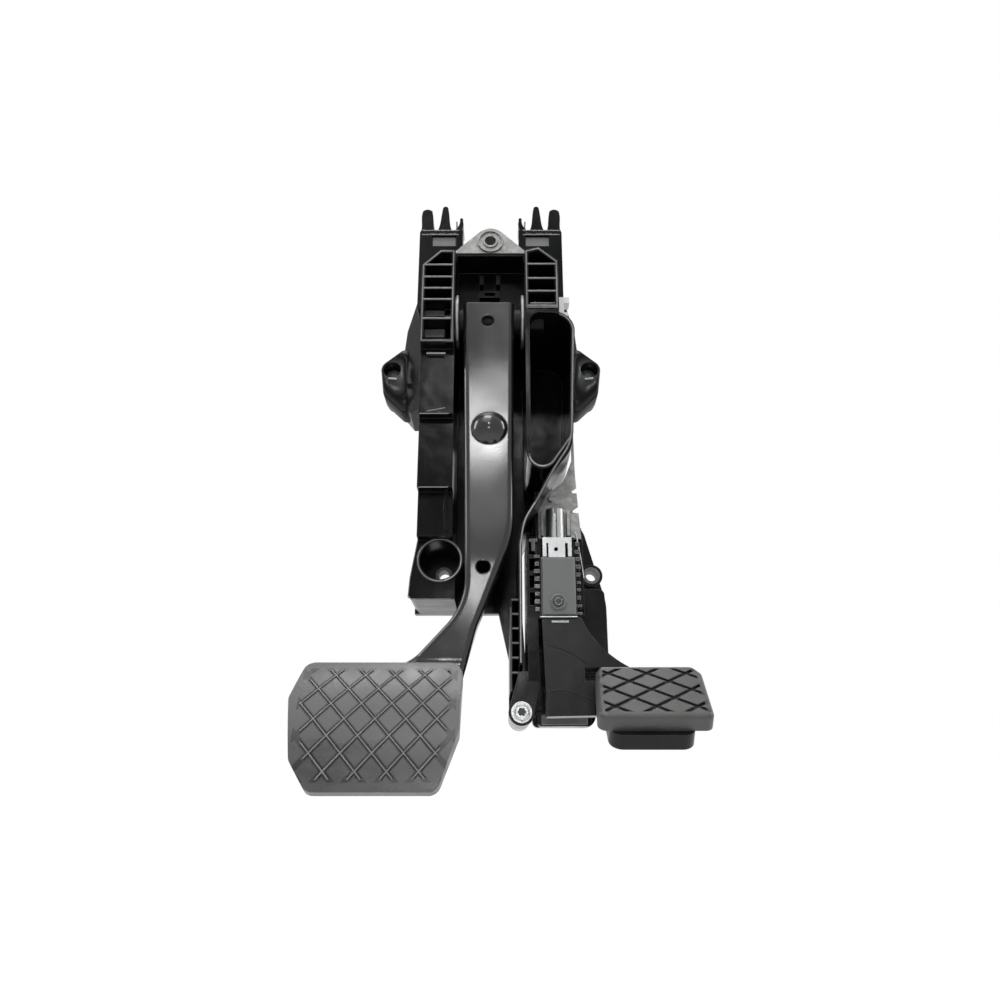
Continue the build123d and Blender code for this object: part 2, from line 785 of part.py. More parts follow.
with BuildPart() as brake_arm:
    with BuildSketch(facing(20)):
        add(arm_front_view(0))
    extrude(amount=110)
    with BuildSketch(across(-100)):
        add(
            arm_side_view(
                0,
                (
                    behind_pad(-18, 11),
                    behind_pad(36, 10),
                    (-80, -230),
                    (-80, -205),
                    (-75, -160),
                    (-70, -80),
                    (-67, ARM_TOP),
                ),
            )
        )
    extrude(amount=130, mode=Mode.INTERSECT)
    pressed = [edge for edge in brake_arm.edges() if (edge @ 0.5).Y < ARM_EDGE_Y and edge.length > 8]
    fillet([edge for edge in pressed if abs((edge @ 0.5).X + 1) > 1], radius=ARM_EDGE_R)
    add(arm_inside.part, mode=Mode.SUBTRACT)
    # Pressed dome over the pushrod's ball
    with Locations((0, DOME_Y, PUSHROD_Z)):
        Sphere(DOME_R)
        Sphere(DOME_R - ARM_T, mode=Mode.SUBTRACT)
    # The dome's back half is open to the ball
    with BuildSketch(facing(-DOME_Y - 1.5)):
        with Locations((0, PUSHROD_Z)):
            Circle(DOME_R + 0.1)
    extrude(amount=-30, mode=Mode.SUBTRACT)
    # Seats of the pivot tube, and the two round holes of the front web
    with BuildSketch(across(-TUBE_HALF)):
        with Locations((PIVOT_Y, PIVOT_Z)):
            Circle(TUBE_R)
    extrude(amount=2 * TUBE_HALF, mode=Mode.SUBTRACT)
    with BuildSketch(facing(85)):
        with Locations((-1.5, 6), (-3.6, -182)):
            Circle(4.7)
    extrude(amount=20, mode=Mode.SUBTRACT)

with BuildPart() as ball_socket_clip:
    with BuildSketch(facing(78)):
        with Locations((0, PUSHROD_Z)):
            Circle(BALL_R + 2)
            Circle(BALL_R, mode=Mode.SUBTRACT)
    extrude(amount=11)
    with BuildSketch(facing(86)):
        with Locations((0, PUSHROD_Z)):
            RectangleRounded(26, 34, 4)
            Circle(BALL_R, mode=Mode.SUBTRACT)
    extrude(amount=2)


# Brake pad and the plate that carries it

def brake_pad_outline(inset):
    """Slanted outline of the brake pad, drawn `inset` inside its edge."""
    with BuildSketch() as outline:
        with BuildLine():
            Polyline(
                (-47, 41),
                (46.5, 41),
                (50.5, 33),
                (49.5, -7),
                (38, -41),
                (-36, -41),
                (-47.5, -24),
                (-53.5, 14),
                close=True,
            )
        make_face()
        fillet(outline.vertices(), radius=7)
        if inset:
            offset(amount=-inset, mode=Mode.REPLACE)
    return outline.sketch


def diamond_bars(field, pitch_x, pitch_z, width):
    """Crossing bars of a diamond tread, clipped to the sketch `field`."""
    lean = degrees(atan2(pitch_z, pitch_x))
    with BuildSketch() as bars:
        with Locations(*[(pitch_x * n, 0) for n in range(-6, 7)]):
            Rectangle(200, width, rotation=lean)
            Rectangle(200, width, rotation=-lean)
        add(field, mode=Mode.INTERSECT)
    return bars.sketch


pad_plane = tilted(PAD_X, PAD_Y, PAD_Z, PAD_TILT)

with BuildPart() as pad_plate:
    with BuildSketch(pad_plane.offset(-PAD_T - PLATE_T)):
        add(brake_pad_outline(PLATE_INSET))
    extrude(amount=PLATE_T)

with BuildPart() as pad_tread:
    with BuildSketch(pad_plane.offset(-PAD_T)):
        add(diamond_bars(brake_pad_outline(7), TREAD_PITCH_X, TREAD_PITCH_Z, GROOVE_W))
    extrude(amount=PAD_T)
    with Locations(pad_plane):
        with Locations((0, 0, -PAD_CROWN)):
            Cylinder(PAD_CROWN - GROOVE_DEPTH, 120, rotation=(0, 90, 0), mode=Mode.SUBTRACT)

with BuildPart() as brake_pad:
    with BuildSketch(pad_plane.offset(-PAD_T - PLATE_T)):
        add(brake_pad_outline(0))
    extrude(amount=PAD_T + PLATE_T)
    with BuildSketch(pad_plane.offset(-PAD_T - PLATE_T)):
        add(brake_pad_outline(PLATE_INSET))
    extrude(amount=PLATE_T, mode=Mode.SUBTRACT)
    # Crown across the pad's height, then the diamond tread
    with Locations(pad_plane):
        with Locations((0, 0, -PAD_CROWN)):
            Cylinder(PAD_CROWN, 120, rotation=(0, 90, 0), mode=Mode.INTERSECT)
    add(pad_tread.part, mode=Mode.SUBTRACT)

# Accelerator housing: base with wing, box round the lever's hub, curved left wall with lug

with BuildPart() as accelerator_housing:
    with BuildSketch(facing()):
        with BuildLine():
            FilletPolyline(
                (BASE_X0, -150),
                (BASE_X0, -279),
                (75, -279),
                (88, -228),
                (88, -188),
                (73, -134),
                (62, -114),
                (37, -140),
                radius=(4, 8, 25, 40, 12, 4),
            )
            Line((37, -140), (BASE_X0, -150))
        make_face()
    extrude(amount=BASE_T)
    with BuildSketch(facing()):
        with Locations((LOWER_RIGHT_X, LOWER_BOLT_Z)):
            Circle(WING_R)
    extrude(amount=BOSS_DEPTH)
    # Lip along the base's lower edge
    with BuildSketch(facing()):
        with Locations((53, -274.5)):
            RectangleRounded(38, 9, 3)
    extrude(amount=24)

    # Box: spring chamber above, lever bay below
    with BuildSketch(across(BOX_X0)):
        with BuildLine():
            Polyline(
                (-BOX_BACK, BOX_TOP),
                (-CHAMBER_FRONT, BOX_TOP),
                (-CHAMBER_FRONT, COVER_TOP),
                (-BOX_FRONT, COVER_TOP),
                (-BOX_FRONT, BOX_BOTTOM),
                (-BOX_BACK, BOX_BOTTOM),
                close=True,
            )
        make_face()
    extrude(amount=BOX_X1 - BOX_X0)
    # Curved left wall, down to the lug of the module screw
    with BuildSketch(across(26)):
        with BuildLine():
            FilletPolyline(
                (-BOX_BACK, -152),
                (-BOX_FRONT, -152),
                (-BOX_FRONT - 5, -212),
                (-BOX_FRONT - 2, -258),
                (-40, -262),
                (-BOX_BACK, -262),
                radius=(6, 60, 8, 10),
            )
            Line((-BOX_BACK, -262), (-BOX_BACK, -152))
        make_face()
    extrude(amount=BOX_X0 - 26)
    with BuildSketch(facing(LUG_SCREW_DEPTH)):
        with Locations((LUG_SCREW_X, LUG_SCREW_Z)):
            Circle(8.5)
        with Locations((26.5, -252)):
            Rectangle(13, 10)
        make_hull()
    extrude(amount=LUG_SCREW_T)
    with BuildSketch(facing(LUG_SCREW_DEPTH)):
        with Locations((LUG_SCREW_X, LUG_SCREW_Z)):
            Circle(3.3)
    extrude(amount=LUG_SCREW_T, mode=Mode.SUBTRACT)

    # Lever bay, open downwards and to the front, and the spring chamber over it
    with BuildSketch(across(BOX_X0 + BOX_WALL)):
        with BuildLine():
            Polyline(
                (-BOX_BACK - BOX_WALL, SPRING_TOP),
                (-CHAMBER_FRONT + 28, SPRING_TOP),
                (-CHAMBER_FRONT + BOX_WALL, -146),
                (-CHAMBER_FRONT + BOX_WALL, COVER_TOP - BOX_WALL),
                (-BOX_FRONT - 6, COVER_TOP - BOX_WALL),
                (-BOX_FRONT - 6, BOX_BOTTOM - 1),
                (-BOX_BACK - BOX_WALL, BOX_BOTTOM - 1),
                close=True,
            )
        make_face()
    extrude(amount=BOX_X1 - BOX_X0 - 2 * BOX_WALL, mode=Mode.SUBTRACT)
    # Seats of the hinge pin
    with BuildSketch(across(26)):
        with Locations((HUB_Y, HUB_Z)):
            Circle(PIN_R)
    extrude(amount=BOX_X1 - 26, mode=Mode.SUBTRACT)
    # Post of the end buffer
    with BuildSketch(facing()):
        with Locations((48, -250)):
            Circle(7)
    extrude(amount=34)
    # Bulkhead bolt
    with BuildSketch(facing()):
        with Locations((LOWER_RIGHT_X, LOWER_BOLT_Z)):
            Circle(SLEEVE_R)
    extrude(amount=BOSS_DEPTH, mode=Mode.SUBTRACT)
    # Lightening cells in the front of the left wall
    with BuildSketch(facing(BOX_FRONT + 8)):
        with Locations(*[(29.5, -163 - 12 * n) for n in range(4)]):
            Rectangle(4, 9)
    extrude(amount=-40, mode=Mode.SUBTRACT)

with BuildPart() as front_cover:
    with BuildSketch(facing(BOX_FRONT)):
        with Locations(((BOX_X0 + BOX_X1) / 2, (COVER_TOP + BOX_BOTTOM) / 2)):
            Rectangle(BOX_X1 - BOX_X0 - 4, COVER_TOP - BOX_BOTTOM)
    extrude(amount=COVER_T)
    chamfer(front_cover.faces().sort_by(Axis.Y)[0].edges(), length=1.2)
    with BuildSketch(facing(BOX_FRONT + COVER_T)):
        with Locations((46, -203)):
            Circle(5.5)
            Circle(2.5, mode=Mode.SUBTRACT)
    extrude(amount=1.5)

plate_left = BOX_HALF + WALL + 0.6  # edge of the plate's upper strip, beside the pocket
with BuildPart() as adapter_plate:
    with BuildSketch(facing(CHAMBER_FRONT)):
        with BuildLine():
            Polyline(
                (plate_left, -66),
                (plate_left + 1.8, -66),
                (plate_left + 2.2, -103),
                (plate_left + 4, -133),
                (BOX_X1 + 5.5, -152),
                (BOX_X0 + 2, -152),
                (BOX_X0 + 2, -118),
                (BOX_X1 - 13, -114.5),
                (BOX_X1 - 6, -108),
                (plate_left, -92),
                close=True,
            )
        make_face()
        # Two pointed notches in the right edge
        for notch_z in (-111, -126):
            with BuildLine():
                Polyline(
                    (plate_left + 6, notch_z),
                    (BOX_X1 - 2, notch_z - 6),
                    (plate_left + 6, notch_z - 7),
                    close=True,
                )
            make_face(mode=Mode.SUBTRACT)
    extrude(amount=SHEET_T)
    # Folded strips on both sides of the guide sleeve
    with BuildSketch(facing(CHAMBER_FRONT)):
        with Locations((56, -142.5)):
            Rectangle(2.2, 18.5)
    extrude(amount=9)
    with BuildSketch(facing(CHAMBER_FRONT)):
        with Locations((59.2, -143)):
            Rectangle(3, 18)
    extrude(amount=5)
    with BuildSketch(facing(CHAMBER_FRONT)):
        with Locations((37.6, -142)):
            Rectangle(1.4, 18)
    extrude(amount=7)

with BuildPart() as plate_pin:
    with BuildSketch(facing(CHAMBER_FRONT + SHEET_T)):
        with Locations((44, -122.5)):
            Circle(2.4)
    extrude(amount=3, taper=18)

with BuildPart() as guide_sleeve:
    with BuildSketch(Plane.XY.offset(TUBE_FOOT)):
        with Locations((TUBE_X, -CHAMBER_FRONT - SHEET_T - GUIDE_R)):
            Circle(GUIDE_R)
            Circle(GUIDE_R - 1.2, mode=Mode.SUBTRACT)
            with Locations((0, -GUIDE_R)):
                Rectangle(2, 4, mode=Mode.SUBTRACT)
    extrude(amount=TUBE_TOP - TUBE_FOOT)

with BuildPart() as retaining_clip:
    # Two straps from the housing, then the front sheet with its legs and pierced tongue
    with BuildSketch(facing(CHAMBER_FRONT)):
        with Locations((37.4, -157.6), (56.4, -157.6)):
            Rectangle(1.2, 4.2)
    extrude(amount=CLIP_FRONT - CHAMBER_FRONT)
    with BuildSketch(facing(CLIP_FRONT)):
        with Locations((46.9, -157.6)):
            Rectangle(20.2, 4.2)
        with Locations((38.2, -164), (55.6, -164)):
            Rectangle(2.7, 10.5)
        with Locations((46.6, -164.5)):
            Rectangle(11.6, 13.5)
        with Locations((46.1, -164)):
            Circle(1.4, mode=Mode.SUBTRACT)
    extrude(amount=-1.2)

with BuildPart() as electronics_cover:
    with BuildSketch(across(BOX_X1)):
        with BuildLine():
            FilletPolyline(
                (-BASE_T, -140),
                (-50, -140),
                (-57, -152),
                (-57, -206),
                (-BASE_T, -206),
                radius=(6, 10, 6),
            )
            Line((-BASE_T, -206), (-BASE_T, -140))
        make_face()
    extrude(amount=SENSOR_X1 - BOX_X1)
    with BuildSketch(facing(BASE_T)):
        with BuildLine():
            FilletPolyline(
                (SENSOR_X1 - 1, -182),
                (84, -182),
                (85.5, -205),
                (83, -228),
                (SENSOR_X1 - 1, -228),
                radius=(4, 30, 6),
            )
            Line((SENSOR_X1 - 1, -228), (SENSOR_X1 - 1, -182))
        make_face()
    extrude(amount=20)
    with BuildSketch(Plane.XY.offset(-228)):
        with Locations((75, -BASE_T - 9)):
            RectangleRounded(16, 14, 2)
    extrude(amount=-16)
    with BuildSketch(Plane.XY.offset(-244)):
        with Locations((75, -BASE_T - 9)):
            RectangleRounded(13, 11, 1.5)
    extrude(amount=14, mode=Mode.SUBTRACT)
    # Board pocket against the box's right wall
    with BuildSketch(across(BOX_X1)):
        with Locations((-34, -173)):
            Rectangle(42, 58)
    extrude(amount=4.5, mode=Mode.SUBTRACT)

with BuildPart() as sensor_board:
    with BuildSketch(across(BOX_X1)):
        with Locations((-34, -173)):
            Rectangle(40, 56)
        with Locations((HUB_Y, HUB_Z)):
            Circle(PIN_R + 1, mode=Mode.SUBTRACT)
    extrude(amount=1.6)
    with BuildSketch(across(BOX_X1 + 1.6)):
        with Locations((-40, -186), (-25, -186)):
            Rectangle(9, 9)
    extrude(amount=1.2)

with BuildPart() as connector_pins:
    with BuildSketch(Plane.XY.offset(-230)):
        with Locations((75, -BASE_T - 9)):
            with GridLocations(3.4, 3.6, 3, 2):
                Rectangle(0.8, 0.8)
    extrude(amount=-10)

with BuildPart() as accelerator_pin:
    with BuildSketch(across(27)):
        with Locations((HUB_Y, HUB_Z)):
            Circle(PIN_R)
    extrude(amount=BOX_X1 - 27)

with BuildPart() as module_screw:
    with BuildSketch(facing(LUG_SCREW_DEPTH - 16)):
        with Locations((LUG_SCREW_X, LUG_SCREW_Z)):
            Circle(3)
    extrude(amount=16 + LUG_SCREW_T)
    with BuildSketch(facing(LUG_SCREW_DEPTH + LUG_SCREW_T)):
        with Locations((LUG_SCREW_X, LUG_SCREW_Z)):
            Circle(6.8)
    extrude(amount=1.2)
    with BuildSketch(facing(LUG_SCREW_DEPTH + LUG_SCREW_T + 1.2)):
        with Locations((LUG_SCREW_X, LUG_SCREW_Z)):
            Circle(5.2)
            RegularPolygon(2.6, 6, mode=Mode.SUBTRACT)
    extrude(amount=3)

with BuildPart() as module_insert:
    with BuildSketch(facing(LUG_SCREW_DEPTH - 20)):
        with Locations((LUG_SCREW_X, LUG_SCREW_Z)):
            Circle(4.5)
            Circle(3, mode=Mode.SUBTRACT)
    extrude(amount=20)

with BuildPart() as rest_buffer:
    with BuildSketch(facing(BOX_FRONT)):
        with Locations((46, -198)):
            RectangleRounded(12, 10, 2)
    extrude(amount=-3)

with BuildPart() as end_buffer:
    with BuildSketch(facing(34)):
        with Locations((48, -250)):
            Circle(6)
    extrude(amount=6)


def coil(radius, wire, turns, runs):
    """Compression spring between its seats, `runs` straight runs of six-sided wire a turn."""
    x = (HUB_X0 + HUB_X1) / 2
    height = SPRING_TOP - SPRING_FOOT - 2 * wire
    points = [
        (
            x + radius * cos(radians(360 * n / runs)),
            SPRING_Y + radius * sin(radians(360 * n / runs)),
            SPRING_FOOT + wire + height * n / (turns * runs),
        )
        for n in range(turns * runs + 1)
    ]
    with BuildPart() as spring:
        with BuildLine():
            path = Polyline(*points)
        with BuildSketch(Plane(origin=path @ 0, z_dir=path % 0)):
            RegularPolygon(wire, 6)
        sweep(transition=Transition.RIGHT)
    return spring


return_spring_outer = coil(SPRING_R, SPRING_WIRE, 5, 14)
return_spring_inner = coil(INNER_SPRING_R, INNER_SPRING_WIRE, 7, 10)

# Accelerator lever and its pieces

apad_plane = tilted(APAD_X, APAD_Y, APAD_Z, APAD_TILT)


def lever_front_view(inset):
    """Front view of the lever's broad web, drawn `inset` inside its edge."""
    with BuildSketch() as view:
        with BuildLine():
            Line((35, BOX_BOTTOM - 1), (61, BOX_BOTTOM - 1))
            ThreePointArc((61, BOX_BOTTOM - 1), (72.5, -232), (92, -247))
            Polyline((92, -247), (96, -262), (86, -276), (37, -277), (35, BOX_BOTTOM - 1))
        make_face()
        if inset:
            offset(amount=-inset, kind=Kind.INTERSECTION, mode=Mode.REPLACE)
    return view.sketch


def web_block(front, back, inset):
    """Lever web between two sloped planes, `front` and `back` deep at its top."""
    with BuildPart() as block:
        with BuildSketch(facing(40)):
            add(lever_front_view(inset))
        extrude(amount=80)
        with BuildSketch(across(30)):
            with BuildLine():
                Polyline(
                    (-front, BOX_BOTTOM),
                    (-front - 12, -278),
                    (-back - 12, -278),
                    (-back, BOX_BOTTOM),
                    close=True,
                )
            make_face()
        extrude(amount=70, mode=Mode.INTERSECT)
    return block.part


with BuildPart() as accelerator_lever:
    add(web_block(LEVER_FRONT, LEVER_FRONT - LEVER_DEPTH, 0))
    add(web_block(LEVER_FRONT - LEVER_T, LEVER_FRONT - 25, LEVER_T), mode=Mode.SUBTRACT)
    # Hub, shank and the rear arm under the springs
    with BuildSketch(across(HUB_X0)):
        with BuildLine():
            Polyline(
                (-46, -154),
                (-50, -176),
                (-71, -194),
                (-71, BOX_BOTTOM),
                (-86, BOX_BOTTOM - 6),
                (-90, -240),
                (-72, -240),
                (-60, -205),
                (-34, -170),
                (-14, -160),
                (-14, -152),
                (-40, -152),
                close=True,
            )
        make_face()
        with Locations((HUB_Y, HUB_Z)):
            Circle(HUB_R)
    extrude(amount=HUB_X1 - HUB_X0)
    # Foot behind the pad, and everything in front of the pad's back cleared away
    with BuildSketch(apad_plane.offset(-APAD_T)):
        with Locations((-3, -3)):
            RectangleRounded(50, 54, 8)
    extrude(amount=-10)
    with BuildSketch(apad_plane.offset(-APAD_T)):
        with Locations((3, -2)):
            Rectangle(80, 66)
    extrude(amount=40, mode=Mode.SUBTRACT)
    with BuildSketch(across(HUB_X0)):
        with Locations((HUB_Y, HUB_Z)):
            Circle(PIN_R + RUN)
    extrude(amount=HUB_X1 - HUB_X0, mode=Mode.SUBTRACT)

with BuildPart() as sensor_rotor:
    with BuildSketch(across(HUB_X1)):
        with Locations((HUB_Y, HUB_Z)):
            Circle(HUB_R - 1)
            Circle(PIN_R + 0.5, mode=Mode.SUBTRACT)
    extrude(amount=1.6)

with BuildPart() as friction_shoe:
    with BuildSketch(Plane.XY.offset(-152)):
        with Locations(((HUB_X0 + HUB_X1) / 2, SPRING_Y)):
            Circle(7.8)
            Circle(2, mode=Mode.SUBTRACT)
    extrude(amount=SPRING_FOOT + 152)


def accelerator_pad_outline(inset):
    """Outline of the accelerator pad, drawn `inset` inside its edge."""
    with BuildSketch() as outline:
        with BuildLine():
            Polyline((-28.5, 26), (30, 26), (34.5, 18), (32, -26), (-35, -26), (-31.5, 20), close=True)
        make_face()
        fillet(outline.vertices(), radius=5)
        if inset:
            offset(amount=-inset, mode=Mode.REPLACE)
    return outline.sketch


with BuildPart() as accelerator_pad:
    with BuildSketch(apad_plane.offset(-APAD_T)):
        add(accelerator_pad_outline(0))
    extrude(amount=APAD_T)
    fillet(accelerator_pad.faces().sort_by(Axis(apad_plane.origin, apad_plane.z_dir))[-1].edges(), radius=3)
    with BuildSketch(apad_plane):
        add(diamond_bars(accelerator_pad_outline(4), 24, 17, 2.4))
    extrude(amount=-1.6, mode=Mode.SUBTRACT)


PIECES = {
    "bearing_bracket": bearing_bracket,
    "crossmember_lug": crossmember_lug,
    "lug_screws": lug_screws,
    "bulkhead_sleeves": bulkhead_sleeves,
    "edge_clip": edge_clip,
    "pivot_bolt": pivot_bolt,
    "pivot_insert": pivot_insert,
    "pivot_sleeve": pivot_sleeve,
    "arm_stop_buffer": arm_stop_buffer,
    "adapter_plate": adapter_plate,
    "plate_pin": plate_pin,
    "guide_sleeve": guide_sleeve,
    "retaining_clip": retaining_clip,
    "accelerator_housing": accelerator_housing,
    "front_cover": front_cover,
    "electronics_cover": electronics_cover,
    "sensor_board": sensor_board,
    "connector_pins": connector_pins,
    "accelerator_pin": accelerator_pin,
    "module_screw": module_screw,
    "module_insert": module_insert,
    "rest_buffer": rest_buffer,
    "end_buffer": end_buffer,
    "return_spring_outer": return_spring_outer,
    "return_spring_inner": return_spring_inner,
    "brake_arm": brake_arm,
    "pivot_tube": pivot_tube,
    "bearing_bushes": bearing_bushes,
    "ball_socket_clip": ball_socket_clip,
    "pad_plate": pad_plate,
    "brake_pad": brake_pad,
    "accelerator_lever": accelerator_lever,
    "accelerator_pad": accelerator_pad,
    "sensor_rotor": sensor_rotor,
    "friction_shoe": friction_shoe,
}
for name, piece in PIECES.items():
    piece.part.label = name
    export_step(piece.part, f"parts/{name}.step")
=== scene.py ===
import json
import logging
import math
from collections.abc import Iterable, Sequence
from dataclasses import dataclass, field
from enum import Enum

import bmesh
import bpy
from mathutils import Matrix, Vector


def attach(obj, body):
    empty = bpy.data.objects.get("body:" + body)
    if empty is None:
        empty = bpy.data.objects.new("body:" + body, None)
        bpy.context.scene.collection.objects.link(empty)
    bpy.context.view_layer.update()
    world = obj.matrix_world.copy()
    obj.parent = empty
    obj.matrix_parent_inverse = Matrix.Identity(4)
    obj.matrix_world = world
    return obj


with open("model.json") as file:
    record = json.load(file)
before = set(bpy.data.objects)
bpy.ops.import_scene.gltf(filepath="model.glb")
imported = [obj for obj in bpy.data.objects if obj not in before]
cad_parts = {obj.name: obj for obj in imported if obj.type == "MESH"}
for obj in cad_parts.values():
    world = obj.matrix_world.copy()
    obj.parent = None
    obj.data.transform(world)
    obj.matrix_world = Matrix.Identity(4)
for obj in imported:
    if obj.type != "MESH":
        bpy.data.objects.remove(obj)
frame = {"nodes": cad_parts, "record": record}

LOG = logging.getLogger("pedals")
MM = 0.001
BEVEL_SAMPLES = 4
EDGE_ANGLES = (0.8, 0.985)
NOISE_MIDDLE = (0.3, 0.7)
# Near-black colour that paints shade into the tread grooves.
PAINTED_GROOVE_SHADE = (0.004, 0.004, 0.004)
BEAD_SIDES = 8

Point = tuple[float, float, float]
Flat = tuple[float, float]
Span = tuple[float, float]
Colour = tuple[float, float, float]
Circle = tuple[float, float, float]


class Body(str, Enum):
    """Bodies of the pedal assembly that a piece can ride on."""

    BRACKET = "bracket_assembly"
    BRAKE = "brake_pedal"
    ACCELERATOR = "accelerator_pedal"


class Slot(str, Enum):
    """Material slots of the record."""

    BRACKET = "bracket_plastic"
    ZINC = "zinc_plate"
    BRIGHT = "bright_steel"
    BOLT = "bolt_steel"
    BRASS = "insert_brass"
    ARM = "arm_paint"
    PAD = "pad_rubber"
    BUFFER = "buffer_rubber"
    BUSH = "bush_plastic"
    WHITE = "white_plastic"
    MODULE = "module_plastic"
    GREY = "grey_plastic"
    SPRING = "spring_steel"
    BOARD = "board_green"
    PINS = "pin_metal"
    ROTOR = "rotor_metal"


class Look(str, Enum):
    """Finishes, one for each kind of surface."""

    MOULDING = "bracket_moulding"
    # Light finish for beads: a painted highlight along rims and ridges.
    RIM = "painted_highlight_rims"
    # Brighter finish for beads: a painted highlight, the glint of an edge.
    GLINT = "painted_glint_rims"
    MODULE = "module_moulding"
    # Lighter copy of the module's black, with painted highlights on its edges.
    CATCH = "catch_moulding"
    COVER = "cover_moulding"
    LEVER = "lever_moulding"
    LEVER_PAD = "lever_pad_skin"
    BUSH = "bush_plastic"
    WHITE = "white_clip"
    BOARD = "board_lacquer"
    ARM = "arm_coat"
    ZINC = "zinc_sheet"
    LUG = "lug_casting"
    BRIGHT = "bright_steel"
    SHADED = "shaded_steel"
    SLEEVE = "sleeve_steel"
    BOLT = "bolt_zinc"
    BRASS = "insert_brass"
    SPRING = "spring_wire"
    PINS = "pin_plating"
    ROTOR = "rotor_metal"
    PAD = "pad_rubber"
    BUFFER = "buffer_rubber"


def in_scene(name: str, data: bpy.types.ID) -> bpy.types.Object:
    """New object in the scene."""
    made = bpy.data.objects.new(name, data)
    bpy.context.scene.collection.objects.link(made)
    return made


class NodeGraph:
    """Small helper that builds the node tree of one material."""

    def __init__(self, name: str) -> None:
        """Starts an empty surface material.

        Args:
            name: name of the material.
        """
        self.material = bpy.data.materials.new(name)
        self.material.use_nodes = True
        self.tree = self.material.node_tree
        self.shader = self.tree.nodes["Principled BSDF"]
        self.coordinates = self.tree.nodes.new("ShaderNodeTexCoord").outputs["Object"]

    def node(self, kind: str, **settings: object) -> bpy.types.Node:
        """Adds a node and sets its inputs and properties.

        Args:
            kind: type of the node.
            settings: inputs by name, with spaces as underscores, or properties of the node.

        Returns:
            The new node.
        """
        made = self.tree.nodes.new(kind)
        for name, value in settings.items():
            socket = name.replace("_", " ")
            if socket in made.inputs:
                made.inputs[socket].default_value = value
            else:
                setattr(made, name, value)
        return made

    def link(self, source: bpy.types.NodeSocket, target: bpy.types.NodeSocket) -> None:
        """Joins two sockets."""
        self.tree.links.new(source, target)

    def stretched(self, scale: Point) -> bpy.types.NodeSocket:
        """Object coordinates stretched by a Mapping node.

        Args:
            scale: factor along each axis.

        Returns:
            The socket with the stretched coordinates.
        """
        mapping = self.node("ShaderNodeMapping", Scale=scale)
        self.link(self.coordinates, mapping.inputs["Vector"])
        return mapping.outputs["Vector"]

    def noise(self, scale: float, detail: float = 3.0, stretch: Point = (1, 1, 1)) -> bpy.types.NodeSocket:
        """Noise over the object.

        Args:
            scale: size of the noise, in features per metre.
            detail: octaves of the noise.
            stretch: factor along each axis.

        Returns:
            The socket with the noise value.
        """
        noise = self.node("ShaderNodeTexNoise", Scale=scale, Detail=detail)
        self.link(self.stretched(stretch), noise.inputs["Vector"])
        return noise.outputs["Fac"]

    def ranged(self, value: bpy.types.NodeSocket, source: Span, target: Span) -> bpy.types.NodeSocket:
        """Maps one range of a value to another, and holds it at the ends.

        Args:
            value: the value.
            source: range of the value.
            target: range of the result.

        Returns:
            The socket with the mapped value.
        """
        ranged = self.node("ShaderNodeMapRange")
        for name, number in zip(("From Min", "From Max", "To Min", "To Max"), (*source, *target)):
            ranged.inputs[name].default_value = number
        self.link(value, ranged.inputs["Value"])
        return ranged.outputs["Result"]

    def between(self, value: bpy.types.NodeSocket, low: float, high: float) -> bpy.types.NodeSocket:
        """Maps the middle of a noise value to the range from `low` to `high`."""
        return self.ranged(value, NOISE_MIDDLE, (low, high))

    def shade(
        self, value: bpy.types.NodeSocket, dark: Colour | bpy.types.NodeSocket, light: Colour
    ) -> bpy.types.NodeSocket:
        """Colour that runs from dark to light with a value.

        Args:
            value: the value, from 0 to 1.
            dark: colour at 0, or the socket that gives it.
            light: colour at 1.

        Returns:
            The socket with the colour.
        """
        mix = self.node("ShaderNodeMix", data_type="RGBA")
        if isinstance(dark, tuple):
            mix.inputs[6].default_value = (*dark, 1)
        else:
            self.link(dark, mix.inputs[6])
        mix.inputs[7].default_value = (*light, 1)
        self.link(value, mix.inputs["Factor"])
        return mix.outputs[2]

    def math(
        self, operation: str, first: bpy.types.NodeSocket, second: bpy.types.NodeSocket | float = 0.0
    ) -> bpy.types.NodeSocket:
        """Result of one Math node on a value and a second value or number."""
        step = self.node("ShaderNodeMath", operation=operation)
        self.link(first, step.inputs[0])
        if isinstance(second, float):
            step.inputs[1].default_value = second
        else:
            self.link(second, step.inputs[1])
        return step.outputs[0]

    def rims(self, radius: float) -> bpy.types.NodeSocket:
        """Mask that is 1 on sharp edges and 0 on flats, where painted edge highlights go.

        Args:
            radius: how far the mask reaches from an edge, in metres.

        Returns:
            The socket with the mask.
        """
        bevel = self.node("ShaderNodeBevel", samples=BEVEL_SAMPLES, Radius=radius)
        flat = self.node("ShaderNodeNewGeometry")
        along = self.node("ShaderNodeVectorMath", operation="DOT_PRODUCT")
        self.link(bevel.outputs["Normal"], along.inputs[0])
        self.link(flat.outputs["True Normal"], along.inputs[1])
        return self.ranged(along.outputs["Value"], EDGE_ANGLES, (1, 0))

    def relief(self, heights: list[tuple[bpy.types.NodeSocket, float]], edge: float) -> None:
        """Gives the surface soft edges and stacked bumps.

        Args:
            heights: each height value with its depth in metres.
            edge: radius of the rounded edges in metres.
        """
        normal = None
        if edge > 0:
            bevel = self.node("ShaderNodeBevel", samples=BEVEL_SAMPLES, Radius=edge)
            normal = bevel.outputs["Normal"]
        for height, depth in heights:
            bump = self.node("ShaderNodeBump", Distance=depth)
            self.link(height, bump.inputs["Height"])
            if normal:
                self.link(normal, bump.inputs["Normal"])
            normal = bump.outputs["Normal"]
        if normal:
            self.link(normal, self.shader.inputs["Normal"])


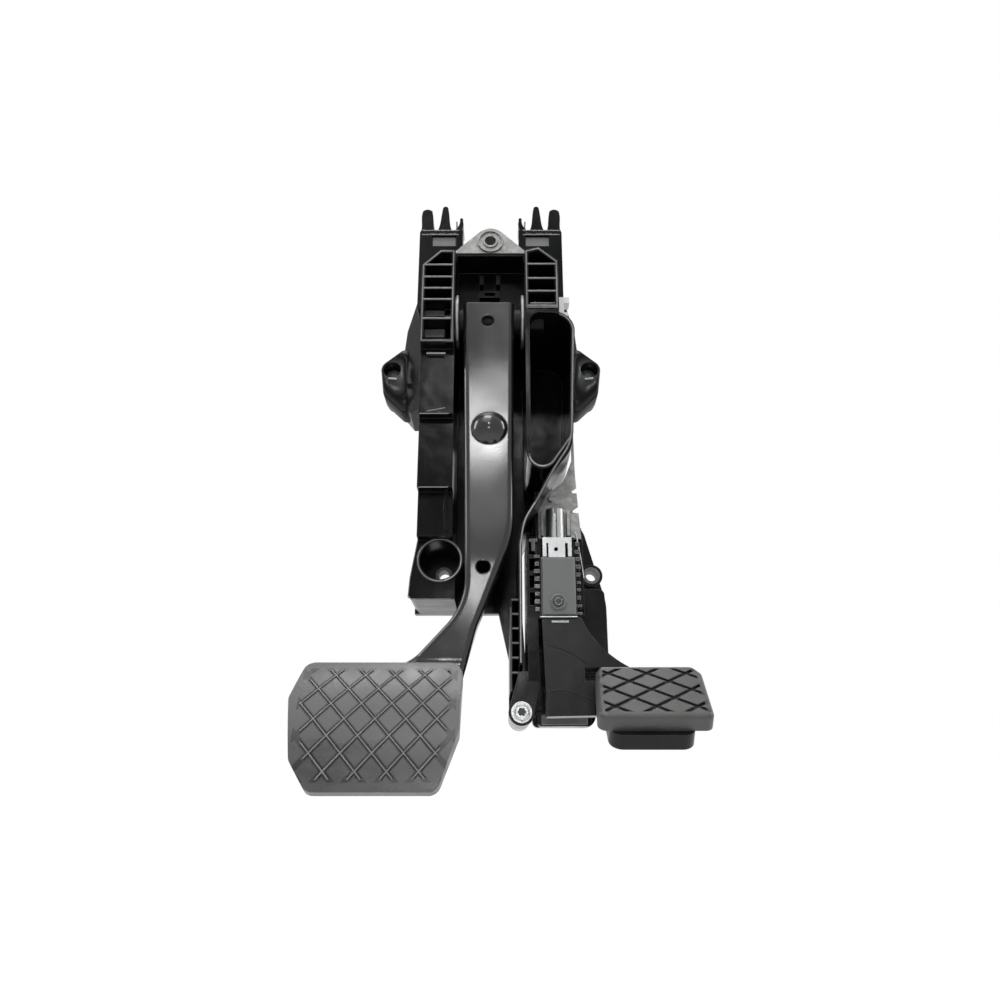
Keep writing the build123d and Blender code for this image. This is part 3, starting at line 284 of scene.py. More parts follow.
@dataclass(frozen=True)
class MouldedPlastic:
    """Glass-fibre filled plastic with a moulded skin.

    Attributes:
        dark: colour where the skin is resin rich.
        light: colour where fibres show.
        gloss: lowest and highest roughness.
        grain: depth of the skin's grain in metres.
        edge: radius of the moulded edges in metres.
        specular: level of the reflection.
        rim: colour of painted highlights along the edges, or None where they keep the skin's own.
    """

    dark: Colour
    light: Colour
    gloss: Span
    grain: float = 0.00003
    edge: float = 0.0008
    specular: float = 0.5
    rim: Colour | None = None

    def make(self, name: str) -> bpy.types.Material:
        """Builds the material and returns it."""
        graph = NodeGraph(name)
        flow = graph.noise(60, 4, (1, 1, 0.35))
        skin = graph.noise(1500, 2)
        waves = graph.noise(35, 2)
        colour = graph.shade(flow, self.dark, self.light)
        # Painted highlight: edges take the lighter rim colour.
        if self.rim:
            colour = graph.shade(graph.rims(self.edge), colour, self.rim)
        graph.link(colour, graph.shader.inputs["Base Color"])
        graph.link(graph.between(flow, *self.gloss), graph.shader.inputs["Roughness"])
        graph.shader.inputs["Specular IOR Level"].default_value = self.specular
        graph.relief([(skin, self.grain), (waves, 0.0006)], self.edge)
        return graph.material


@dataclass(frozen=True)
class ArmPaint:
    """Black electro-dipped coat on pressed steel: deep gloss over a faint orange peel.

    Attributes:
        colour: colour of the coat where it is darkest.
    """

    colour: Colour = (0.006, 0.0064, 0.007)

    def make(self, name: str) -> bpy.types.Material:
        """Builds the material and returns it."""
        graph = NodeGraph(name)
        cloud = graph.noise(25, 3)
        peel = graph.noise(900, 2)
        press = graph.noise(14, 2, (1, 1, 0.5))
        lifted = tuple(2.2 * part for part in self.colour)
        graph.link(graph.shade(cloud, self.colour, lifted), graph.shader.inputs["Base Color"])
        graph.link(graph.between(cloud, 0.1, 0.22), graph.shader.inputs["Roughness"])
        graph.shader.inputs["Specular IOR Level"].default_value = 0.5
        graph.relief([(peel, 0.000015), (press, 0.0016)], 0.001)
        return graph.material


@dataclass(frozen=True)
class ZincSheet:
    """Zinc coat on steel sheet, with the flowers of the coating.

    Attributes:
        dark: colour of the darkest flowers.
        light: colour of the lightest flowers.
        gloss: lowest and highest roughness.
    """

    dark: Colour
    light: Colour
    gloss: Span

    def make(self, name: str) -> bpy.types.Material:
        """Builds the material and returns it."""
        graph = NodeGraph(name)
        flowers = graph.node("ShaderNodeTexVoronoi", Scale=260)
        graph.link(graph.coordinates, flowers.inputs["Vector"])
        tone = graph.node("ShaderNodeSeparateColor")
        graph.link(flowers.outputs["Color"], tone.inputs["Color"])
        scuffs = graph.noise(140, 5, (1, 1, 4))
        graph.link(graph.shade(tone.outputs["Red"], self.dark, self.light), graph.shader.inputs["Base Color"])
        graph.link(graph.between(scuffs, *self.gloss), graph.shader.inputs["Roughness"])
        graph.shader.inputs["Metallic"].default_value = 1.0
        graph.relief([(scuffs, 0.00012)], 0.0004)
        return graph.material


@dataclass(frozen=True)
class BareMetal:
    """Turned, drawn or rolled metal with fine lines along one axis.

    Attributes:
        colour: colour of the metal.
        gloss: lowest and highest roughness.
        lines: stretch of the lines along each axis.
        edge: radius of the edges in metres.
    """

    colour: Colour
    gloss: Span = (0.2, 0.34)
    lines: Point = (1, 12, 1)
    edge: float = 0.0003

    def make(self, name: str) -> bpy.types.Material:
        """Builds the material and returns it."""
        graph = NodeGraph(name)
        lines = graph.noise(500, 3, self.lines)
        spots = graph.noise(120, 4)
        darker = tuple(0.72 * part for part in self.colour)
        graph.link(graph.shade(spots, darker, self.colour), graph.shader.inputs["Base Color"])
        graph.link(graph.between(lines, *self.gloss), graph.shader.inputs["Roughness"])
        graph.shader.inputs["Metallic"].default_value = 1.0
        graph.relief([(lines, 0.00003)], self.edge)
        return graph.material


@dataclass(frozen=True)
class TreadPattern:
    """Dirt along the grooves of a diamond tread.

    Attributes:
        centre: middle of the pad in metres.
        tilt: degrees that the pad faces up.
        pitch: spacing of the diamonds across and up the pad in metres.
        reach: how far the painted shade reaches from a groove's middle in metres.
        field: half width and half height of the tread in metres.
    """

    centre: Point
    tilt: float
    pitch: Flat
    reach: float
    field: Flat

    def mask(self, graph: NodeGraph) -> bpy.types.NodeSocket:
        """Mask that is 1 in the grooves and 0 away from them."""
        moved = graph.node("ShaderNodeVectorMath", operation="SUBTRACT")
        graph.link(graph.coordinates, moved.inputs[0])
        moved.inputs[1].default_value = self.centre
        turned = graph.node("ShaderNodeVectorRotate", rotation_type="X_AXIS", Angle=math.radians(self.tilt))
        graph.link(moved.outputs[0], turned.inputs["Vector"])
        parts = graph.node("ShaderNodeSeparateXYZ")
        graph.link(turned.outputs[0], parts.inputs[0])
        across = graph.math("DIVIDE", parts.outputs["X"], self.pitch[0])
        up = graph.math("DIVIDE", parts.outputs["Z"], self.pitch[1])
        gap = self.pitch[0] * self.pitch[1] / math.hypot(*self.pitch)
        near = graph.math(
            "MINIMUM",
            graph.math("PINGPONG", graph.math("ADD", across, up), 0.5),
            graph.math("PINGPONG", graph.math("SUBTRACT", across, up), 0.5),
        )
        groove = graph.ranged(near, (0.7 * self.reach / gap, self.reach / gap), (1, 0))
        for axis, half in (("X", self.field[0]), ("Z", self.field[1])):
            inside = graph.math("LESS_THAN", graph.math("ABSOLUTE", parts.outputs[axis]), half)
            groove = graph.math("MULTIPLY", groove, inside)
        return groove


@dataclass(frozen=True)
class PedalRubber:
    """Black rubber, greyed and polished where shoes rub it.

    Attributes:
        dark: colour where it is little used.
        worn: colour where shoes rub.
        gloss: lowest and highest roughness.
        edge: radius of the edges in metres.
        rim: colour of painted highlights along the edges.
        tread: painted shade in the grooves of its tread, or None where it has no tread.
    """

    dark: Colour
    worn: Colour
    gloss: Span = (0.42, 0.6)
    edge: float = 0.0007
    rim: Colour = (0.1, 0.1, 0.1)
    tread: TreadPattern | None = None

    def make(self, name: str) -> bpy.types.Material:
        """Builds the material and returns it."""
        graph = NodeGraph(name)
        scuffs = graph.noise(45, 6, (1, 1, 1.6))
        skin = graph.noise(2200, 2)
        dust = graph.noise(420, 4)
        # Painted highlight: edges take the lighter rim colour.
        colour = graph.shade(graph.rims(self.edge), graph.shade(scuffs, self.dark, self.worn), self.rim)
        # Painted shade: the grooves darken to near black.
        if self.tread:
            colour = graph.shade(self.tread.mask(graph), colour, PAINTED_GROOVE_SHADE)
        graph.link(colour, graph.shader.inputs["Base Color"])
        graph.link(graph.between(scuffs, *self.gloss), graph.shader.inputs["Roughness"])
        graph.relief([(skin, 0.00003), (dust, 0.00006)], self.edge)
        return graph.material


# Each rim colour below is a painted highlight along the edges.
FINISHES = {
    Look.MOULDING: MouldedPlastic(
        (0.0022, 0.0024, 0.0027), (0.0055, 0.0058, 0.0062), (0.1, 0.26),
        specular=0.08, rim=(0.06, 0.061, 0.063),
    ),
    # Painted highlight: light finish for the rim and ridge beads.
    Look.RIM: MouldedPlastic((0.07, 0.071, 0.072), (0.18, 0.182, 0.184), (0.16, 0.32), edge=0, specular=0.6),
    # Painted highlight: bright finish for the glint beads.
    Look.GLINT: MouldedPlastic((0.3, 0.302, 0.305), (0.5, 0.502, 0.505), (0.12, 0.24), edge=0, specular=0.7),
    Look.MODULE: MouldedPlastic(
        (0.0026, 0.0028, 0.003), (0.0075, 0.0078, 0.0083), (0.1, 0.28),
        specular=0.12, rim=(0.09, 0.092, 0.094),
    ),
    # Painted highlight: catches lighter than the module, with bright edges.
    Look.CATCH: MouldedPlastic(
        (0.008, 0.0085, 0.009), (0.07, 0.072, 0.074), (0.08, 0.26), specular=0.7, rim=(0.42, 0.42, 0.42)
    ),
    Look.COVER: MouldedPlastic(
        (0.085, 0.087, 0.087), (0.135, 0.138, 0.138), (0.36, 0.5), grain=0.00005, rim=(0.24, 0.24, 0.24)
    ),
    Look.LEVER: MouldedPlastic(
        (0.004, 0.0043, 0.0048), (0.011, 0.0112, 0.0116), (0.22, 0.38), specular=0.16, rim=(0.06, 0.06, 0.06)
    ),
    Look.LEVER_PAD: PedalRubber(
        (0.022, 0.0225, 0.0215), (0.07, 0.071, 0.068), (0.34, 0.52), 0.0012, (0.22, 0.22, 0.215),
        TreadPattern((0.0985, -0.118, -0.2625), 50, (0.024, 0.017), 0.002, (0.0305, 0.0225)),
    ),
    Look.BUSH: MouldedPlastic((0.03, 0.032, 0.035), (0.06, 0.062, 0.065), (0.25, 0.4)),
    Look.WHITE: MouldedPlastic((0.66, 0.67, 0.68), (0.78, 0.79, 0.8), (0.35, 0.5)),
    Look.BOARD: MouldedPlastic((0.008, 0.06, 0.03), (0.012, 0.1, 0.05), (0.2, 0.3)),
    Look.ARM: ArmPaint(),
    Look.ZINC: ZincSheet((0.25, 0.255, 0.25), (0.34, 0.345, 0.335), (0.6, 0.78)),
    Look.LUG: ZincSheet((0.14, 0.142, 0.138), (0.2, 0.202, 0.196), (0.4, 0.6)),
    Look.BRIGHT: BareMetal((0.42, 0.425, 0.43), (0.26, 0.46)),
    Look.SLEEVE: BareMetal((0.1, 0.103, 0.106), (0.4, 0.6)),
    Look.SHADED: BareMetal((0.02, 0.0205, 0.021), (0.4, 0.6)),
    Look.BOLT: BareMetal((0.42, 0.43, 0.43), (0.25, 0.42), (1, 1, 1)),
    Look.BRASS: BareMetal((0.72, 0.52, 0.24)),
    Look.SPRING: BareMetal((0.5, 0.5, 0.51)),
    Look.PINS: BareMetal((0.86, 0.74, 0.42)),
    Look.ROTOR: BareMetal((0.6, 0.55, 0.48)),
    Look.PAD: PedalRubber(
        (0.022, 0.0225, 0.022), (0.075, 0.077, 0.075), (0.2, 0.42), 0.0008, (0.22, 0.22, 0.215),
        TreadPattern((-0.066, -0.122, -0.28), 22, (0.0182, 0.0202), 0.0021, (0.0475, 0.036)),
    ),
    Look.BUFFER: PedalRubber((0.012, 0.012, 0.012), (0.025, 0.025, 0.025), rim=(0.03, 0.03, 0.03)),
}

# Most slots have a look of the same name.
SLOT_LOOKS = {Slot.BRACKET: Look.MOULDING, Slot.GREY: Look.COVER}
SLOT_LOOKS.update({slot: Look[slot.name] for slot in Slot if slot not in SLOT_LOOKS})
NODE_LOOKS = {
    "accelerator_lever": Look.LEVER,
    "accelerator_pad": Look.LEVER_PAD,
    "bulkhead_sleeves": Look.SLEEVE,
    "crossmember_lug": Look.LUG,
    "pivot_sleeve": Look.SHADED,
    "pivot_bolt": Look.SHADED,
    "pivot_tube": Look.SHADED,
}


class ShapeGraph:
    """Geometry Nodes tree with named sizes, baked to a plain mesh."""

    SOCKETS = {float: "NodeSocketFloat", int: "NodeSocketInt", tuple: "NodeSocketVector"}

    def __init__(self, name: str, sizes: dict[str, float | int | Point]) -> None:
        """Starts a tree with one named input for each size.

        Args:
            name: name of the tree.
            sizes: value of each input, by name.
        """
        self.name = name
        self.sizes = sizes
        self.tree = bpy.data.node_groups.new(name, "GeometryNodeTree")
        sockets = self.tree.interface
        sockets.new_socket("Geometry", in_out="INPUT", socket_type="NodeSocketGeometry")
        sockets.new_socket("Finish", in_out="INPUT", socket_type="NodeSocketMaterial")
        for size, value in sizes.items():
            sockets.new_socket(size, in_out="INPUT", socket_type=self.SOCKETS[type(value)])
        sockets.new_socket("Geometry", in_out="OUTPUT", socket_type="NodeSocketGeometry")
        self.entry = self.tree.nodes.new("NodeGroupInput").outputs

    def node(
        self, kind: str, links: dict[str, bpy.types.NodeSocket] | None = None, **settings: object
    ) -> bpy.types.Node:
        """Adds a node.

        Args:
            kind: type of the node.
            links: sockets that feed its inputs, by name.
            settings: properties of the node.

        Returns:
            The new node.
        """
        made = self.tree.nodes.new(kind)
        for name, value in settings.items():
            setattr(made, name, value)
        for name, socket in (links or {}).items():
            self.tree.links.new(socket, made.inputs[name])
        return made

    def close(self, shape: bpy.types.NodeSocket) -> None:
        """Ends the tree with real geometry in the piece's finish."""
        real = self.node("GeometryNodeRealizeInstances", {"Geometry": shape})
        done = self.node(
            "GeometryNodeSetMaterial", {"Geometry": real.outputs[0], "Material": self.entry["Finish"]}
        )
        self.node("NodeGroupOutput", {"Geometry": done.outputs[0]})

    def bake(self, base: bpy.types.Mesh, finish: bpy.types.Material) -> bpy.types.Mesh:
        """Runs the tree on a mesh.

        Args:
            base: mesh that the tree starts from.
            finish: material of the result.

        Returns:
            The result as a plain mesh.
        """
        carrier = in_scene(self.name, base)
        modifier = carrier.modifiers.new(self.name, "NODES")
        modifier.node_group = self.tree
        values = {"Finish": finish, **self.sizes}
        for item in self.tree.interface.items_tree:
            if item.in_out == "INPUT" and item.name in values:
                modifier[item.identifier] = values[item.name]
        shape = carrier.evaluated_get(bpy.context.evaluated_depsgraph_get())
        mesh = bpy.data.meshes.new_from_object(shape)
        bpy.data.objects.remove(carrier)
        return mesh


class Workshop:
    """Makes the finishes, and turns meshes into pieces that ride on a body."""

    def __init__(self) -> None:
        """Builds one material for each finish."""
        self.materials = {look: finish.make(look.value) for look, finish in FINISHES.items()}

    def dress(self) -> None:
        """Puts the finishes on the CAD nodes."""
        for part in frame["record"]["subparts"]:
            node = frame["nodes"][part["node"]]
            look = NODE_LOOKS.get(part["node"], SLOT_LOOKS[Slot(part["material_slot"])])
            for place in node.material_slots:
                place.material = self.materials[look]
            LOG.info("dressed %s with %s", node.name, look.value)

    def add(self, name: str, mesh: bpy.types.Mesh, body: Body, slot: Slot, look: Look) -> None:
        """Adds a finished piece.

        Args:
            name: name of the piece.
            mesh: its mesh, in place.
            body: body that it rides on.
            slot: material slot of the record; not used.
            look: finish.
        """
        mesh.name = name
        mesh.materials.clear()
        mesh.materials.append(self.materials[look])
        piece = in_scene(name, mesh)
        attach(piece, body.value)
        LOG.info("added %s, %d faces", name, len(mesh.polygons))

    def beads(
        self, name: str, lines: Sequence["Line"], radius: float, body: Body, slot: Slot, look: Look
    ) -> None:
        """Adds round beads along lines, made by a Geometry Nodes tree.

        Args:
            name: name of the piece.
            lines: the lines, in millimetres.
            radius: radius of the beads in millimetres.
            body: body that they ride on.
            slot: material slot of the record.
            look: finish.
        """
        graph = ShapeGraph("bead_shape", {"Radius": radius * MM, "Sides": BEAD_SIDES})
        path = graph.node("GeometryNodeMeshToCurve", {"Mesh": graph.entry["Geometry"]})
        profile = graph.node(
            "GeometryNodeCurvePrimitiveCircle",
            {"Radius": graph.entry["Radius"], "Resolution": graph.entry["Sides"]},
        )
        tube = graph.node(
            "GeometryNodeCurveToMesh", {"Curve": path.outputs[0], "Profile Curve": profile.outputs[0]}
        )
        tube.inputs["Fill Caps"].default_value = True
        graph.close(tube.outputs[0])
        mesh = graph.bake(edge_mesh(lines), self.materials[look])
        mesh.shade_smooth()
        self.add(name, mesh, body, slot, look)


@dataclass(frozen=True)
class Line:
    """Open or closed run of points in millimetres."""

    points: tuple[Point, ...]
    closed: bool = False


def facing_line(flat: Iterable[Flat], depth: float, closed: bool = False) -> Line:
    """Line drawn in (right, up), `depth` in front of the bulkhead face."""
    return Line(tuple((x, -depth, z) for x, z in flat), closed)


def arc(centre: Flat, radius: float, start: float, end: float, steps: int = 24) -> list[Flat]:
    """Points of an arc round `centre`, from `start` to `end` degrees."""
    turns = [math.radians(start + (end - start) * n / steps) for n in range(steps + 1)]
    return [(centre[0] + radius * math.cos(turn), centre[1] + radius * math.sin(turn)) for turn in turns]


def ring(centre: Flat, radius: float, steps: int = 24) -> list[Flat]:
    """Points of a full circle, whose last one stands a step before the first."""
    return arc(centre, radius, 0, 360 - 360 / steps, steps - 1)


def hull_of_circles(circles: Sequence[Circle], steps: int = 96) -> list[Flat]:
    """Outline round a set of circles, each given as x, z and radius."""
    outline = []
    for n in range(steps):
        x, z = math.cos(math.tau * n / steps), math.sin(math.tau * n / steps)
        far = max(circles, key=lambda circle: circle[0] * x + circle[1] * z + circle[2])
        outline.append((far[0] + far[2] * x, far[1] + far[2] * z))
    return outline


def smooth_run(points: Sequence[Flat], steps: int = 8) -> list[Flat]:
    """Smooth line through points, `steps` pieces between each two."""
    padded = [points[0], *points, points[-1]]
    run = []
    for a, b, c, d in zip(padded, padded[1:], padded[2:], padded[3:]):
        for n in range(steps):
            t = n / steps
            run.append(
                tuple(
                    0.5 * (2 * b[k] + (c[k] - a[k]) * t + (2 * a[k] - 5 * b[k] + 4 * c[k] - d[k]) * t**2)
                    + 0.5 * (3 * b[k] - a[k] - 3 * c[k] + d[k]) * t**3
                    for k in (0, 1)
                )
            )
    return [*run, points[-1]]


def edge_mesh(lines: Sequence[Line]) -> bpy.types.Mesh:
    """Mesh of bare edges along lines given in millimetres."""
    vertices: list[Vector] = []
    edges: list[tuple[int, int]] = []
    for line in lines:
        start = len(vertices)
        vertices += [Vector(point) * MM for point in line.points]
        edges += [(n, n + 1) for n in range(start, len(vertices) - 1)]
        if line.closed:
            edges.append((len(vertices) - 1, start))
    mesh = bpy.data.meshes.new("edges")
    mesh.from_pydata(vertices, edges, [])
    return mesh


def prism(outline: Sequence[Flat], front: float, back: float, round_off: float) -> bmesh.types.BMesh:
    """Block with rounded edges between two depths.

    Args:
        outline: its outline in (right, up), in millimetres.
        front: depth of its front.
        back: depth of its back.
        round_off: width of its rounded edges.

    Returns:
        The block as an editable mesh, in metres.
    """
    block = bmesh.new()
    base = block.faces.new([block.verts.new(Vector((x, -back, z)) * MM) for x, z in outline])
    grown = bmesh.ops.extrude_face_region(block, geom=[base])["geom"]
    moved = [part for part in grown if isinstance(part, bmesh.types.BMVert)]
    bmesh.ops.translate(block, verts=moved, vec=Vector((0, back - front, 0)) * MM)
    bmesh.ops.recalc_face_normals(block, faces=block.faces)
    bmesh.ops.bevel(
        block, geom=block.edges[:], offset=round_off * MM, segments=2, profile=0.5, affect="EDGES"
    )
    return block


def merged(blocks: Iterable[bmesh.types.BMesh]) -> bpy.types.Mesh:
    """One mesh of several editable meshes, which are freed."""
    whole = bmesh.new()
    for block in blocks:
        part = bpy.data.meshes.new("part")
        block.to_mesh(part)
        block.free()
        whole.from_mesh(part)
        bpy.data.meshes.remove(part)
    mesh = bpy.data.meshes.new("whole")
    whole.to_mesh(mesh)
    whole.free()
    return mesh


def rectangle(left: float, right: float, low: float, high: float) -> list[Flat]:
    """Corners of a rectangle in (right, up)."""
    return [(left, low), (right, low), (right, high), (left, high)]


@dataclass
class BracketTrim:
    """Rims and bars in painted-highlight finishes, light grey cell lugs and fork panels that are painted
    highlights, and ears of the bearing bracket, in millimetres.
    """

    shop: Workshop
    field_depth: float = 97.8
    left_ribs: tuple[float, ...] = (50.8, 40.3, 30.5, 20.9, 4.7)
    right_ribs: tuple[float, ...] = (51.5, 39.0, 28.0, 15.5)
    pocket: tuple[Circle, ...] = (
        (37.0, 2.0, 9.3), (46.0, -4.0, 14.8), (46.7, -84.0, 10.8), (37.0, -101.0, 9.3),
    )
    tunnel: Flat = (-35.0, -168.0)
    ear_bolt: float = 80.0
    ear_hole: float = 7.2
    ear_lobes: tuple[Circle, ...] = ((77.5, -18, 9.4), (68, -32, 6), (70, 14, 5))
    ear_middle: Flat = (76.0, -9.0)
    ear_points: int = 48

    def field_rims(self) -> list[Line]:
        """Rims and ribs of both fields."""
        left = [(-27.3, 62.7), (-37, 62.7), (-49.7, 50.4), (-49.7, -13.7), (-27.3, -13.7)]
        right = [(27.3, 62.7), (36.4, 65.2), (49.7, 53.8), (49.7, 14), (27.3, 14)]
        lines = [facing_line(rim, self.field_depth, True) for rim in (left, right)]
        for side, ribs in ((-1, self.left_ribs), (1, self.right_ribs)):
            for z in ribs:
                lines.append(facing_line([(side * 28, z), (side * 49.3, z)], self.field_depth))
        return lines

    def blade_rim(self) -> Line:
        """Front edge of the blade that sweeps down from the pocket."""
        run = smooth_run([(57, -88), (54, -97), (44.5, -112), (34, -131), (24.5, -147), (21.2, -164)])
        run += [(21.2, -200), (21.2, -242)]
        fall = ((-88, 96), (-104, 96), (-160, 86), (-243, 80))
        points = []
        for x, z in run:
            depth = next(
                d0 + (d1 - d0) * (z0 - z) / (z0 - z1)
                for (z0, d0), (z1, d1) in zip(fall, fall[1:])
                if z >= z1
            )
            points.append((x, 0.2 - depth, z))
        return Line(tuple(points))

    def rims(self) -> None:
        """Adds the rims of fields, pocket, blade, tunnel, leg and left box, as beads in light finishes that
        paint highlights.
        """
        lines = self.field_rims()
        lines.append(facing_line(hull_of_circles(self.pocket), 95.6, True))
        lines.append(self.blade_rim())
        lines.append(facing_line(ring(self.tunnel, 15.3, 48), 61.8, True))
        lines.append(facing_line([(15, -201), (15, -258)], 59.8))
        lines += [facing_line([(15.5, z), (20.5, z)], 59.8) for z in range(-246, -195, 10)]
        # Painted highlight: light beads along rims and ribs.
        self.shop.beads("field_rims", lines, 0.75, Body.BRACKET, Slot.BRACKET, Look.RIM)
        glints = [
            Line(tuple((x, y - 0.7, z) for x, y, z in self.blade_rim().points[26:])),
            facing_line(arc(self.tunnel, 15.3, -75, 35), 62.5),
            facing_line(arc((37, -101), 9.3, 195, 285), 96.2),
        ]
        self.shop.beads("rim_glints", glints, 0.42, Body.BRACKET, Slot.BRACKET, Look.GLINT)
        edges = [
            facing_line([(-50, -67), (-29, -67)], 87.8),
            facing_line([(-50, -120), (-29, -120)], 79.8),
            facing_line([(-44.7, -65.2), (-31.9, -62.6)], 87.9),
            facing_line([(-50.5, -150), (-55.5, -180), (-56.5, -194), (-54, -195.6), (-26, -195.6)], 59.8),
        ]
        self.shop.beads("box_edges", edges, 0.45, Body.BRACKET, Slot.BRACKET, Look.RIM)

    def lugs(self) -> None:
        """Adds the lugs and bright bars in the cells; the lugs' light grey and the bars' brightness are
        painted highlights.
        """
        blocks = [
            prism(rectangle(-49, -32.8, 14.6, 19.6), 85, 60, 0.8),
            prism(rectangle(-49, -33.4, -3.3, 3.6), 85, 60, 0.8),
        ]
        # Painted highlight: lugs of the black moulding in a light grey finish.
        self.shop.add("cell_lugs", merged(blocks), Body.BRACKET, Slot.BRACKET, Look.COVER)
        bars = [
            facing_line([(-46.3, 34.2), (-37.8, 34.2)], 80),
            facing_line([(-46.4, -18.6), (-32.5, -18.6)], 88.2),
            facing_line([(30, 22.6), (48.4, 22.6)], 90),
            *[facing_line([(x, 43), (x + 1.6, 43)], 80) for x in (-46.5, -43, -39.5, -36, -33)],
        ]
        # Painted highlight: bright bars in the cells.
        self.shop.beads("cell_bars", bars, 0.7, Body.BRACKET, Slot.BRACKET, Look.GLINT)

    def ear(self, side: int) -> bmesh.types.BMesh:
        """Rounded ear round one wing bolt, a shell without a back.

        Args:
            side: -1 on the left, 1 on the right.

        Returns:
            The ear as an editable mesh, in metres.
        """
        count = self.ear_points
        outline = hull_of_circles([(self.ear_bolt, 0.5, 9.2), *self.ear_lobes], count)
        hole = ring((self.ear_bolt, 0), self.ear_hole, count)
        # Each loop, with its depth and how far it is drawn in.
        loops = (
            (hole, 14, 0), (hole, 28.2, 0), (outline, 28.2, 1.4), (outline, 26, 0), (outline, 8, 0),
        )
        shell = bmesh.new()
        rows = []
        for loop, depth, shrink in loops:
            row = []
            for x, z in loop:
                inward = Vector((self.ear_middle[0] - x, self.ear_middle[1] - z)).normalized() * shrink
                row.append(shell.verts.new(Vector((side * (x + inward.x), -depth, z + inward.y)) * MM))
            rows.append(row)
        for near, far in zip(rows, rows[1:]):
            for n in range(count):
                after = (n + 1) % count
                shell.faces.new((near[n], near[after], far[after], far[n]))
        bmesh.ops.recalc_face_normals(shell, faces=shell.faces)
        return shell

    def forks(self) -> None:
        """Adds the light panels in the windows and cells of both forks, and their edges; both are light
        finishes that paint highlights.
        """
        panels = []
        for side in (-1, 1):
            window = rectangle(side * 37.8 - 9.6, side * 37.8 + 9.6, 92.7, 102.3)
            panels.append(prism(window, 62.2, 60.8, 0.4))
            for x in (31, 39.5, 47):
                cell = rectangle(side * x - 2.9, side * x + 2.9, 104.3, 106.7)
                panels.append(prism(cell, 62.6, 60.8, 0.3))
        # Painted highlight: panels of the black moulding in a light grey finish.
        self.shop.add("fork_panels", merged(panels), Body.BRACKET, Slot.BRACKET, Look.COVER)
        edges = []
        for side in (-1, 1):
            edges.append(facing_line([(side * 26, 107.3), (side * 56, 107.3)], 63.8))
            edges.append(facing_line([(side * 26, 103.4), (side * 56, 103.4)], 63.8))
            for x, top in ((53, 128), (37.5, 131), (27.5, 118)):
                edges.append(facing_line([(side * x, 108), (side * (x + 0.4), top)], 61.0))
        self.shop.beads("fork_edges", edges, 0.6, Body.BRACKET, Slot.BRACKET, Look.RIM)

    def build(self) -> None:
        """Adds all trim of the bracket."""
        self.rims()
        self.lugs()
        self.forks()
        ears = merged([self.ear(-1), self.ear(1)])
        ears.shade_smooth()
        self.shop.add("wing_ears", ears, Body.BRACKET, Slot.BRACKET, Look.MOULDING)
        # Painted highlight: a bright bead under each ear's hole.
        lips = [facing_line([(side * 82.6, -8.2), (side * 76, -8.8)], 28.6) for side in (-1, 1)]
        self.shop.beads("ear_lips", lips, 0.9, Body.BRACKET, Slot.BRACKET, Look.GLINT)


